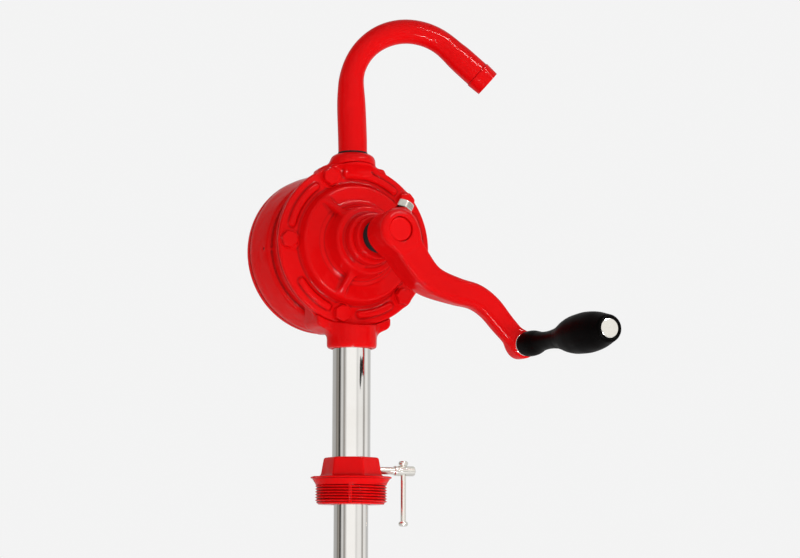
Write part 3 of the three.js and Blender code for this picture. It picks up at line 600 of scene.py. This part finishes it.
def smooth_curve(points, steps):
    """A curve through points, as a uniform Catmull-Rom spline sampled in equal steps per span."""
    points = np.array(points, float)
    first = 2 * points[0] - points[1]
    last = 2 * points[-1] - points[-2]
    padded = np.vstack([first, points, last])
    result = []
    for a, b, c, d in zip(padded, padded[1:], padded[2:], padded[3:]):
        for i in range(steps):
            t = i / steps
            result.append(0.5 * (2 * b + (c - a) * t + (2 * a - 5 * b + 4 * c - d) * t * t
                                 + (3 * b - 3 * c + d - a) * t ** 3))
    result.append(points[-1])
    return np.array(result)


# ---------------------------------------------------------------- painted fasteners and the gland

HEX_ANGLES = [math.radians(60 * i) for i in range(6)]
COS_30 = 0.866
BOLT_FLATS, BOLT_HEAD, BOLT_SHANK_R = 13, 5.2, 3.9


def hexagon(u, v, across_flats, turn=0.0):
    """Distance to a hexagon whose first flat faces the direction turn."""
    sides = [u * math.cos(a + turn) + v * math.sin(a + turn) for a in HEX_ANGLES]
    distance = sides[0]
    for side in sides[1:]:
        distance = np.maximum(distance, side)
    return distance - across_flats / 2


def hex_head_bolt(name, angle, circle_r, head_y, tip_y, turn):
    """A hexagon-head bolt along Y, with its head's corners turned down as on a forged bolt."""
    x, z = around(angle, circle_r)
    out = math.copysign(1, head_y - tip_y)
    crown = head_y + out * BOLT_HEAD
    grid = Grid((x - 7.6, min(tip_y, crown), z - 7.6), (x + 7.6, max(tip_y, crown), z + 7.6), SMALL_STEP)
    u, v = grid.x - x, grid.z - z
    r = np.sqrt(u * u + v * v)
    along = (grid.y - head_y) * out
    head = intersect(hexagon(u, v, BOLT_FLATS, turn), slab(along, 0.05, BOLT_HEAD), soft=0.8)
    chamfer = r * 0.5 + along * COS_30 - 7.55
    flange = intersect(r - 7.3, slab(along, 0.02, 1.1))
    shank = intersect(r - BOLT_SHANK_R, slab(along, -abs(head_y - tip_y), 1), soft=1)
    field = join(intersect(head, chamfer), flange, shank, soft=0.8)
    return surface(name, grid, rounded(field, SMALL_STEP, 0.45))


def gland_nose():
    low, high = box_mm("gland_nut")
    return lathe("gland_nose", [(10.2, high.y), (14.8, high.y), (14.8, -43.9), (17.6, -43.9), (18.2, -44.6),
                                (18.2, low.y + 1.4), (17.8, low.y + 0.5), (16.9, low.y), (10.9, low.y),
                                (10.2, low.y + 0.7)], "y", bevel=0.3)


def wiper_ring():
    low, high = box_mm("shaft_wiper")
    return lathe("shaft_wiper_ring", [(10.05, high.y), (13.6, high.y), (13.6, -57), (13, -57.8), (13, -59.4),
                                      (13.6, -60.2), (13.6, low.y + 1), (12.6, low.y), (10.05, low.y)],
                 "y", bevel=0.3)


# ---------------------------------------------------------------- crank

ARM_STEP = 0.6
ARM_PATH = [(0, 0), (15, -22), (30, -38), (52, -46), (70, -50), (83.5, -58.5), (95.5, -71.5), (112, -88)]
GRIP_X, GRIP_Z = ARM_PATH[-1]
ARM_FRONT, ARM_BACK, ARM_DEEP, HUB_BACK = -97.0, -83.0, -66.7, -67.0
SET_BOLT_ANGLE = math.radians(64)
SET_BOLT_Y = -82.0
SET_BOLT_LOW, SET_BOLT_TOP, SET_BOLT_FLATS = 20.9, 27.5, 12.8
HUB_R, ARM_END_R, SHAFT_BORE_R, SPINDLE_BORE_R = 16.8, 10.2, 10.15, 5.3


def arm_plan(grid):
    """Distance to the swan-neck's outline in X and Z, for a width that narrows to the grip's end."""
    line = smooth_curve(ARM_PATH, 6)
    best = np.inf
    for i, (a, b) in enumerate(zip(line, line[1:])):
        d = b - a
        t = np.clip(((grid.x - a[0]) * d[0] + (grid.z - a[1]) * d[1]) / (d @ d), 0, 1)
        width = np.interp((i + t) / (len(line) - 1), (0, 0.4, 1), (12.2, 10.8, 9.1))
        away = np.sqrt((grid.x - a[0] - t * d[0]) ** 2 + (grid.z - a[1] - t * d[1]) ** 2)
        best = np.minimum(best, away - width)
    return best


def set_bolt_axes(grid):
    """Distance along the set bolt's line from the shaft, and the two offsets across it."""
    c, s = math.cos(SET_BOLT_ANGLE), math.sin(SET_BOLT_ANGLE)
    return grid.x * c + grid.z * s, grid.y - SET_BOLT_Y, -grid.x * s + grid.z * c


def crank_arm():
    grid = Grid(*box_mm("crank_arm"), ARM_STEP)
    length = math.hypot(GRIP_X, GRIP_Z)
    reach = (grid.x * GRIP_X + grid.z * GRIP_Z) / length
    back = np.interp(reach, (30, 50, 75, 95, 125), (ARM_DEEP, -70, -78, -81, ARM_BACK))
    depth = np.maximum(ARM_FRONT - grid.y, grid.y - back)
    rounder = np.clip((reach - 20) / 40, 0, 1)
    blade = intersect(arm_plan(grid), depth, soft=2.5) * (1 - rounder)
    blade = blade + intersect(arm_plan(grid), depth, soft=6) * rounder
    r = line_distance(grid, "y")
    hub = intersect(r - HUB_R, slab(grid.y, ARM_FRONT, HUB_BACK), soft=3)
    end_r = line_distance(grid, "y", (GRIP_X, GRIP_Z))
    end = intersect(end_r - ARM_END_R, slab(grid.y, ARM_FRONT, ARM_BACK), soft=2.5)
    along, u, v = set_bolt_axes(grid)
    bolt_r = np.sqrt(u * u + v * v)
    pad = intersect(bolt_r - 8.4, slab(along, 8, 20.2), soft=1.5)
    field = rounded(join(hub, blade, end, pad, soft=6), ARM_STEP, 0.9)
    bolt_bore = intersect(bolt_r - 4.1, 5 - along)
    field = cut(field, r - SHAFT_BORE_R, end_r - SPINDLE_BORE_R, bolt_bore, soft=0.6)
    return surface("crank_arm_casting", grid, field)


def set_bolt():
    grid = Grid(*box_mm("crank_set_bolt"), SMALL_STEP)
    along, u, v = set_bolt_axes(grid)
    r = np.sqrt(u * u + v * v)
    head = intersect(hexagon(u, v, SET_BOLT_FLATS, 0.3), slab(along, SET_BOLT_LOW, SET_BOLT_TOP), soft=0.6)
    head = intersect(head, r * 0.5 + (along - SET_BOLT_TOP) * COS_30 - 2.9)
    shank = intersect(r - 3.8, slab(along, 10.4, 21.5))
    return surface("set_bolt", grid, rounded(join(head, shank, soft=0.6), SMALL_STEP, 0.4))


def turning_shaft():
    low, high = box_mm("shaft")
    grid = Grid(low, high, SMALL_STEP)
    body = turned(grid, [(0, low.y), (9, low.y), (9.9, low.y + 0.9), (9.9, high.y - 1), (9, high.y),
                         (0, high.y)])
    keyway = np.maximum(np.maximum(np.abs(grid.x) - 2.65, 7.4 - grid.z), slab(grid.y, 11.8, 50.2))
    return surface("turning_shaft", grid, rounded(cut(body, keyway), SMALL_STEP, 0.4))


# The grip's radius at distances from the washer.
GRIP_PROFILE = [(0, 9.2), (3, 10.2), (8, 10.4), (14, 10.1), (19, 9.2), (21.5, 8.6), (24, 8.1), (30, 7.4),
                (38, 7.2), (46, 7.6), (55.5, 8.8), (63, 10.7), (71.5, 13.2), (80, 14.9), (87.5, 15.6),
                (96, 16), (102, 15.9), (110, 15.2), (117.5, 14), (125, 12.2), (133, 10.3)]


def grip_handle():
    low, high = box_mm("grip")
    outside = [(r, high.y - along) for along, r in smooth_curve(GRIP_PROFILE, 8)]
    end = low.y
    profile = [(6.4, high.y), (8.6, high.y), *outside[2:-2], (10.2, end + 0.8), (9.6, end), (8.6, end),
               (8.15, end + 0.5), (8.1, end + 4.2), (5.55, end + 4.4), (5.55, high.y - 0.8)]
    return lathe("grip_handle", profile, "y", centre=(GRIP_X, GRIP_Z), segments=128)


def grip_rivet():
    low, high = box_mm("grip_spindle")
    end = low.y
    profile = [(2.5, end - 0.1), (7.1, end), (7.6, end + 0.3), (7.7, end + 0.9), (7.7, end + 3.5),
               (5.2, end + 3.7), (5.2, ARM_FRONT - 0.4), (4.9, ARM_FRONT - 0.2), (4.9, high.y - 0.8),
               (4.2, high.y)]
    return rod("grip_rivet", profile, "y", 0.4, (GRIP_X, GRIP_Z))


def grip_washer():
    low, high = box_mm("grip_washer")
    return lathe("grip_washer_disc", [(5.4, low.y), (9.55, low.y), (9.55, high.y), (5.4, high.y)], "y", 0.35,
                 (GRIP_X, GRIP_Z), 64)


def spindle_nut():
    low, high = box_mm("spindle_nut")
    grid = Grid((GRIP_X - 9.4, low.y, GRIP_Z - 9.4), (GRIP_X + 9.4, high.y, GRIP_Z + 9.4), SMALL_STEP)
    u, v = grid.x - GRIP_X, grid.z - GRIP_Z
    r = np.sqrt(u * u + v * v)
    top = low.y + 4.8
    body = intersect(hexagon(u, v, 13.4, 0.2), slab(grid.y, low.y, top), soft=0.6)
    chamfer = r * 0.5 + (grid.y - top) * COS_30 - 3.5
    return surface("spindle_hex_nut", grid, rounded(cut(intersect(body, chamfer), r - 5.1), SMALL_STEP, 0.4))


# ---------------------------------------------------------------- spout

SPOUT_TURN = math.radians(-14)
SPOUT_FOOT, SPOUT_BASE, RISER_TOP, LEAN = 70.2, 78.0, 137.2, 1.7
RISE_R, FALL_R, FALL_ANGLE, FALL_STRAIGHT = 50.1, 52.9, math.radians(40.6), 46.1
COLLAR_LENGTH = 12.5
SPOUT_BORE_R = 8.4
LINE_STEP, FINE_STEP = 1.6, 0.4
# The pipe's radius at distances from its foot.
SPOUT_RADII = [(0, 12.0), (8, 12.2), (30, 12.3), (52, 12.1), (67, 11.1), (82, 10.1), (103, 10), (127, 10.4),
               (172, 10.4), (187, 10.8), (200, 11.6), (240, 11.8)]


def spout_line():
    """Points and directions of the spout's centre line in its own plane, from the foot to the mouth."""
    riser = RISER_TOP - SPOUT_FOOT
    rise = RISE_R * math.pi / 2
    fall = FALL_R * FALL_ANGLE
    total = riser + rise + fall + FALL_STRAIGHT
    collar_start = total - COLLAR_LENGTH - 2
    fine_foot = np.arange(0, 2, FINE_STEP)
    coarse = np.arange(2, collar_start, LINE_STEP)
    fine_end = np.arange(collar_start, total, FINE_STEP)
    lengths = np.unique(np.concatenate([fine_foot, coarse, fine_end, [total]]))
    centre_z = RISER_TOP + RISE_R - FALL_R
    crown_x = RISE_R - LEAN
    rows = []
    for s in lengths:
        if s < riser:
            height = RISER_TOP - SPOUT_BASE
            t = max(SPOUT_FOOT + s - SPOUT_BASE, 0) / height
            slope = 6 * LEAN * t * (1 - t) / height
            rows.append((-LEAN * t * t * (3 - 2 * t), SPOUT_FOOT + s, -slope, math.sqrt(1 - slope * slope)))
        elif s < riser + rise:
            a = (s - riser) / RISE_R
            rows.append((crown_x - RISE_R * math.cos(a), RISER_TOP + RISE_R * math.sin(a),
                         math.sin(a), math.cos(a)))
        else:
            a = min((s - riser - rise) / FALL_R, FALL_ANGLE)
            on = max(s - riser - rise - fall, 0)
            rows.append((crown_x + FALL_R * math.sin(a) + on * math.cos(a),
                         centre_z + FALL_R * math.cos(a) - on * math.sin(a), math.cos(a), -math.sin(a)))
    return lengths, np.array(rows), total


def spout_pipe():
    """A bent pipe that narrows over the crown, with a rolled collar at its mouth."""
    lengths, rows, total = spout_line()
    outer = np.interp(lengths, *smooth_curve(SPOUT_RADII, 6).T)
    from_mouth = total - lengths
    collar = np.interp(from_mouth, (0, 0.5, 1.4, 11.6, 12.2, 12.8), (11.3, 11.65, 11.85, 12.45, 12.2, 0))
    outer = np.maximum(outer, collar)
    outer[0] = 11.6
    bore = np.full(len(lengths), SPOUT_BORE_R)
    bore[[0, -1]] += 0.5
    turn = np.linspace(0, 2 * math.pi, 72, endpoint=False)
    centre_x, centre_z, along_x, along_z = np.concatenate([rows, rows[::-1]]).T[..., None]
    radius = np.concatenate([outer, bore[::-1]])[:, None]
    side = radius * np.cos(turn)
    x = centre_x - along_z * side
    z = centre_z + along_x * side
    y = radius * np.sin(turn)
    c, s = math.cos(SPOUT_TURN), math.sin(SPOUT_TURN)
    vertices = np.stack([x * c - y * s, x * s + y * c, z], -1).reshape(-1, 3)
    return outward(mesh_object("spout_pipe", vertices, ring_faces(len(radius), len(turn))))


def spout_seal():
    low, high = box_mm("spout_seal")
    return lathe("spout_seal_ring", [(12.25, low.z), (12.9, low.z), (12.9, low.z + 0.5), (12.5, high.z),
                                     (12.25, high.z)], "z", 0.3)


# ---------------------------------------------------------------- suction tube

TUBE_WALL, SEAL_WALL = 1.2, 1.4


def tube(name, node):
    low, high = box_mm(node)
    r = high.x
    profile = [(r - TUBE_WALL, low.z), (r, low.z), (r, high.z), (r - TUBE_WALL, high.z)]
    return lathe(name, dense(profile, 24), "z", 0.4)


def tube_seal(name, node):
    low, high = box_mm(node)
    r = high.x
    groove = (low.z + high.z) / 2
    return lathe(name, [(r - SEAL_WALL, low.z), (r - 0.6, low.z), (r, low.z + 0.8), (r, groove - 0.5),
                        (r - 0.5, groove), (r, groove + 0.5), (r, high.z), (r - SEAL_WALL, high.z)],
                 "z", 0.25)


def strainer_cup():
    low, high = box_mm("foot_strainer")
    grid = Grid(low, high, SMALL_STEP)
    r_out = high.x
    cup = turned(grid, [(0, low.z), (r_out - 1, low.z), (r_out, low.z + 1), (r_out, high.z - 0.6),
                        (r_out - 0.5, high.z), (12.9, high.z), (12.9, high.z - 2.8), (11.9, high.z - 2.8),
                        (11.9, low.z + 2.5), (0, low.z + 2.5)], "z")
    radius = line_distance(grid, "z")
    past_end = np.maximum(np.abs(grid.z - low.z - 12) - 4, 0)
    slots = []
    for a in (0, 60, 120):
        across = -grid.x * math.sin(math.radians(a)) + grid.y * math.cos(math.radians(a))
        slots.append(np.sqrt(across ** 2 + past_end ** 2) - 2)
    bead_r = np.sqrt((radius - r_out + 0.1) ** 2 + (grid.z - high.z + 2.2) ** 2)
    bead = intersect(bead_r - 0.8, radius - r_out - 0.7)
    field = join(cut(cup, *slots), bead, soft=0.8)
    return surface("strainer_cup", grid, rounded(field, SMALL_STEP, 0.4))


# ---------------------------------------------------------------- bung adapter

ADAPTER_Z = box_mm("bung_adapter")[0].z + 23
ADAPTER_STEP = 0.42
THREAD_PITCH, THREAD_ROOT_R, THREAD_DEPTH, THREAD_END = 2.309, 28.35, 1.45, -23
HEX_TOP, HEX_FLATS, HEX_NARROWING = 16.0, 44.9, 5.0
FLANGE_R = 34
CLAMP_STEP, CLAMP_PITCH = 0.3, 1.25
TOMMY_X = 47.7


def bung_adapter():
    grid = Grid(*box_mm("bung_adapter"), ADAPTER_STEP)
    z = grid.z - ADAPTER_Z
    r = line_distance(grid, "z")
    flats = HEX_FLATS - np.clip(z, 0, HEX_TOP) / HEX_TOP * HEX_NARROWING
    top = intersect(hexagon(grid.x, grid.y, flats), slab(z, -1, HEX_TOP), soft=1.6)
    top = intersect(top, r * 0.42 + (z - HEX_TOP) * 0.9 - 9.0)
    flange = intersect(r - FLANGE_R, slab(z, -1.7, 0), soft=1.0)
    under = intersect(r - 32.6 + np.clip(-z - 1.4, 0, 5) * 0.62, slab(z, -7, -1)) * 0.85
    phase = (z / THREAD_PITCH + np.arctan2(grid.y, grid.x) / (2 * math.pi)) % 1
    ridge = np.abs(phase - 0.5) * 2
    taper = np.clip((z - THREAD_END) / 2.2, 0, 1)
    thread_r = THREAD_ROOT_R + np.clip(ridge * 1.25 - 0.12, 0, 1) * THREAD_DEPTH * taper - (1 - taper) * 1.2
    thread = intersect(r - thread_r, slab(z, THREAD_END, -3)) * 0.8
    seam_turn = math.radians(-115)
    off_seam = -grid.x * math.sin(seam_turn) + grid.y * math.cos(seam_turn)
    toward = -grid.x * math.cos(seam_turn) - grid.y * math.sin(seam_turn)
    seam = intersect(r - 29.3, slab(z, -22, -4), np.abs(off_seam) - 1.4, np.broadcast_to(toward, r.shape))
    thread = join(thread, seam, soft=0.5)
    cast = rounded(join(top, flange, soft=3), ADAPTER_STEP, 0.8)
    parting = intersect(np.maximum(np.abs(grid.y) - 0.5, r - FLANGE_R - 0.35), slab(z, -1.6, -0.2))
    field = join(join(cast, parting, soft=0.8), under, thread)
    screw_hole = intersect(line_distance(grid, "x", (0, ADAPTER_Z + 5.6)) - 3.6, -grid.x)
    field = cut(field, r - 16.3, screw_hole, soft=0.5)
    return surface("bung_adapter_casting", grid, field)


def clamp_screw():
    low, high = box_mm("clamp_screw")
    z = (low.z + high.z) / 2
    grid = Grid(low, high, CLAMP_STEP)
    r = line_distance(grid, "x", (0, z))
    phase = (grid.x / CLAMP_PITCH + np.arctan2(grid.z - z, grid.y) / (2 * math.pi)) % 1
    thread_r = 2.75 + np.abs(phase - 0.5) * 1.1
    threaded = intersect(r - thread_r, slab(grid.x, low.x, 38))
    head = intersect(r - 4.2, slab(grid.x, 39, high.x), soft=1.2)
    neck = intersect(r - 3.0, slab(grid.x, 37, 40))
    bar_hole = line_distance(grid, "z", (TOMMY_X, 0)) - 2.6
    field = cut(join(threaded, neck, head, soft=0.5), bar_hole, soft=0.4)
    return surface("clamp_screw_spindle", grid, field)


def tommy_bar():
    low, high = box_mm("tommy_bar")
    knob = low.z + 4.2
    return rod("tommy_bar_rod", [(2.2, low.z), (3.4, low.z + 0.5), (3.95, low.z + 1.6), (3.95, knob - 1.4),
                                 (3.2, knob - 0.3), (2.2, knob), (2.2, high.z - 0.6), (1.8, high.z)],
               "z", 0.5, (TOMMY_X, 0))


def tommy_knob():
    low, high = box_mm("tommy_bar_knob")
    return lathe("tommy_bar_end", [(2.3, low.z), (3.3, low.z + 0.2), (3.95, low.z + 1.2),
                                   (3.95, high.z - 1.4), (3.1, high.z - 0.2), (2.3, high.z)],
                 "z", 0.4, (TOMMY_X, 0), 64)


# ---------------------------------------------------------------- assembly

def dress(obj, body, material, node):
    """Gives a piece its material, sets it on its body, and hides the CAD node it stands for."""
    obj.data.materials.append(material)
    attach(obj, body)
    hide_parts(node)


RED = red_paint()
TUBE = polished_tube()
ZINC = zinc_plate()
STEEL = shaft_steel()
BLACK = black_grip()
RUBBER = seal_rubber()
FIBRE = gasket_fibre()

dress(pump_body(), "pump", RED, "pump_body")
dress(front_cover(), "pump", RED, "front_cover")
dress(rear_cover(), "pump", RED, "rear_cover")
for i, angle in enumerate(BOLT_ANGLES):
    front = hex_head_bolt(f"front_bolt_{i + 1}", angle, BOLT_CIRCLE_R, -7.0, 3.0, 0.35 + 0.7 * i)
    dress(front, "pump", RED, f"front_cover_bolt_{i + 1}")
    rear = hex_head_bolt(f"rear_bolt_{i + 1}", angle, REAR_CIRCLE_R, 69.7, 42.0, 0.1 + 0.9 * i)
    dress(rear, "pump", RED, f"rear_cover_bolt_{i + 1}")
dress(gland_nose(), "pump", RED, "gland_nut")
dress(wiper_ring(), "pump", RUBBER, "shaft_wiper")
dress(crank_arm(), "crank", RED, "crank_arm")
dress(set_bolt(), "crank", ZINC, "crank_set_bolt")
dress(turning_shaft(), "crank", STEEL, "shaft")
dress(grip_handle(), "grip", BLACK, "grip")
dress(grip_rivet(), "crank", ZINC, "grip_spindle")
dress(grip_washer(), "crank", ZINC, "grip_washer")
dress(spindle_nut(), "crank", ZINC, "spindle_nut")
dress(spout_pipe(), "spout", RED, "spout")
dress(spout_seal(), "pump", RUBBER, "spout_seal")
for part, body in (("upper", "pump"), ("middle", "middle_tube"), ("lower", "lower_tube")):
    pipe = tube(f"{part}_tube_pipe", f"{part}_tube")
    dress(pipe, body, TUBE, f"{part}_tube")
for part, body in (("upper", "pump"), ("middle", "middle_tube")):
    ring = tube_seal(f"{part}_seal_ring", f"{part}_tube_seal")
    dress(ring, body, RUBBER, f"{part}_tube_seal")
dress(strainer_cup(), "lower_tube", ZINC, "foot_strainer")
dress(bung_adapter(), "adapter", RED, "bung_adapter")
dress(clamp_screw(), "clamp_screw", ZINC, "clamp_screw")
dress(tommy_bar(), "tommy_bar", ZINC, "tommy_bar")
dress(tommy_knob(), "tommy_bar", ZINC, "tommy_bar_knob")

# The pieces closed in by the casing keep the frame's shape and only get a material.
INNER = {
    "bronze": plain_metal("cast_bronze", (0.42, 0.26, 0.10), (0.62, 0.42, 0.18), 0.38),
    "cast_iron": plain_metal("machined_iron", (0.10, 0.10, 0.10), (0.20, 0.19, 0.19), 0.55, 0.7),
    "plain_steel": STEEL,
    "gasket": FIBRE,
}
for row in frame["record"]["subparts"]:
    node = frame["nodes"][row["node"]]
    if row["material_slot"] in INNER and row["node"] != "shaft":
        node.data.materials.clear()
        node.data.materials.append(INNER[row["material_slot"]])


# ---------------------------------------------------------------- floor, lights and camera

CAMERA_FROM_SHAFT = Vector((-0.6811, -1.5619, -0.2623))
CAMERA_LOOK = Vector((0.41735, 0.89851, 0.13603))
CAMERA_LENS = 92.08
CAMERA_ROLL = math.radians(0.09)
LEFT_OF_CAMERA = CAMERA_LOOK.cross(Vector((0, 0, -1))).normalized()
BACKDROP_WHITE = 0.90
WALL_LIGHT = 0.46
FLOOR_GLOW = 0.18
FLOOR_SIZE, FLOOR_DROP = 14, 0.47
MIRRORED_WALLS = 1.05
# The studio's walls as bands of grey: where each starts, in turns from the left of straight behind the
# pump round past the camera, and how light it is. Bare metal mirrors them as its stripes.
WALL_BANDS = [(0.0, 0.50), (0.10, 0.45), (0.19, 0.42), (0.225, 0.20), (0.255, 0.34), (0.28, 0.05),
              (0.30, 0.02), (0.315, 0.45), (0.341, 0.75), (0.365, 0.40), (0.385, 0.30), (0.41, 0.70),
              (0.43, 1.0), (0.575, 1.0), (0.60, 0.72), (0.635, 0.90), (0.70, 0.88), (0.729, 0.22),
              (0.76, 0.85), (0.80, 0.85), (0.856, 0.50), (0.93, 0.62)]


def studio_world():
    """Near white behind the pump; to everything else, pale studio walls in soft vertical bands."""
    world = bpy.data.worlds.new("studio")
    world.use_nodes = True
    tree = world.node_tree
    links = tree.links

    def add(kind, **settings):
        node = tree.nodes.new(kind)
        for key, value in settings.items():
            setattr(node, key, value)
        return node

    def along(direction):
        dot = add("ShaderNodeVectorMath", operation="DOT_PRODUCT")
        links.new(place, dot.inputs[0])
        dot.inputs[1].default_value = direction
        return dot.outputs["Value"]

    def combine(operation, a, b):
        node = add("ShaderNodeMath", operation=operation)
        for socket, value in zip(node.inputs, (a, b)):
            if isinstance(value, float):
                socket.default_value = value
            else:
                links.new(value, socket)
        return node.outputs[0]

    place = add("ShaderNodeTexCoord").outputs["Generated"]
    to_camera = -Vector((CAMERA_LOOK.x, CAMERA_LOOK.y, 0)).normalized()
    turn = combine("ARCTAN2", along(-LEFT_OF_CAMERA), along(to_camera))
    around_room = combine("ADD", combine("DIVIDE", turn, 2 * math.pi), 0.5)
    ramp = add("ShaderNodeValToRGB")
    links.new(around_room, ramp.inputs[0])
    stops = ramp.color_ramp.elements
    for stop, (at, grey) in zip(stops, (WALL_BANDS[0], WALL_BANDS[-1])):
        stop.position, stop.color = at, (grey, grey, grey, 1)
    for at, grey in WALL_BANDS[1:-1]:
        warm = 0.82 if grey < 0.4 else 0.96
        stops.new(at).color = (grey, grey * (1 + warm) / 2, grey * warm, 1)
    mirrored = tree.nodes["Background"]
    links.new(ramp.outputs[0], mirrored.inputs[0])
    mirrored.inputs[1].default_value = MIRRORED_WALLS
    ray = add("ShaderNodeLightPath").outputs
    shown = mirrored
    for kind, white in (("Is Diffuse Ray", WALL_LIGHT), ("Is Camera Ray", BACKDROP_WHITE)):
        plain = add("ShaderNodeBackground")
        plain.inputs[0].default_value = (1, 1, 1, 1)
        plain.inputs[1].default_value = white
        choose = add("ShaderNodeMixShader")
        links.new(ray[kind], choose.inputs[0])
        links.new(shown.outputs[0], choose.inputs[1])
        links.new(plain.outputs[0], choose.inputs[2])
        shown = choose
    links.new(shown.outputs[0], tree.nodes["World Output"].inputs[0])
    bpy.context.scene.world = world


def lamp(name, size, offset, strength, mirrored=False):
    """A soft rectangular lamp aimed at the casing; a mirrored one only makes highlights, others none."""
    data = bpy.data.lights.new(name, "AREA")
    data.shape = "RECTANGLE"
    data.size, data.size_y = size
    data.energy = strength
    obj = bpy.data.objects.new(name, data)
    obj.location = ORIGIN + Vector(offset)
    obj.rotation_euler = (-Vector(offset)).to_track_quat("-Z", "Y").to_euler()
    obj.visible_glossy = mirrored
    obj.visible_diffuse = not mirrored
    bpy.context.scene.collection.objects.link(obj)


def floor():
    """A plain pale floor, low enough for the suction tube to be drawn out above it."""
    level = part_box("foot_strainer")[0].z - FLOOR_DROP
    bpy.ops.mesh.primitive_plane_add(size=FLOOR_SIZE, location=(0, 0, level))
    plane = bpy.context.object
    plane.name = "floor"
    pale = Nodes("pale_floor")
    grain = pale.noise(6, 2)
    pale.set(Base_Color=pale.mix(grain, (0.80, 0.80, 0.81), (0.86, 0.86, 0.86)), Roughness=0.7,
             Emission_Color=(1, 1, 1), Emission_Strength=FLOOR_GLOW)
    plane.data.materials.append(pale.material)


def camera():
    data = bpy.data.cameras.new("camera")
    data.lens = CAMERA_LENS
    data.sensor_width = 36
    obj = bpy.data.objects.new("camera", data)
    obj.location = ORIGIN + CAMERA_FROM_SHAFT
    aim = CAMERA_LOOK.to_track_quat("-Z", "Y") @ Quaternion((0, 0, 1), CAMERA_ROLL)
    obj.rotation_euler = aim.to_euler()
    bpy.context.scene.collection.objects.link(obj)
    bpy.context.scene.camera = obj


studio_world()
lamp("key", (0.8, 0.8), (1.3, -1.5, -0.5), 10.5)
lamp("fill", (1.2, 1.2), (-0.5, -2.0, -0.5), 15)
lamp("edge", (0.30, 0.2), (-0.29, -1.0, -0.78), 15, mirrored=True)
lamp("streak", (0.6, 0.18), (0.40, -0.92, 0.82), 15, mirrored=True)
floor()
camera()
bpy.context.scene.view_settings.view_transform = "Standard"

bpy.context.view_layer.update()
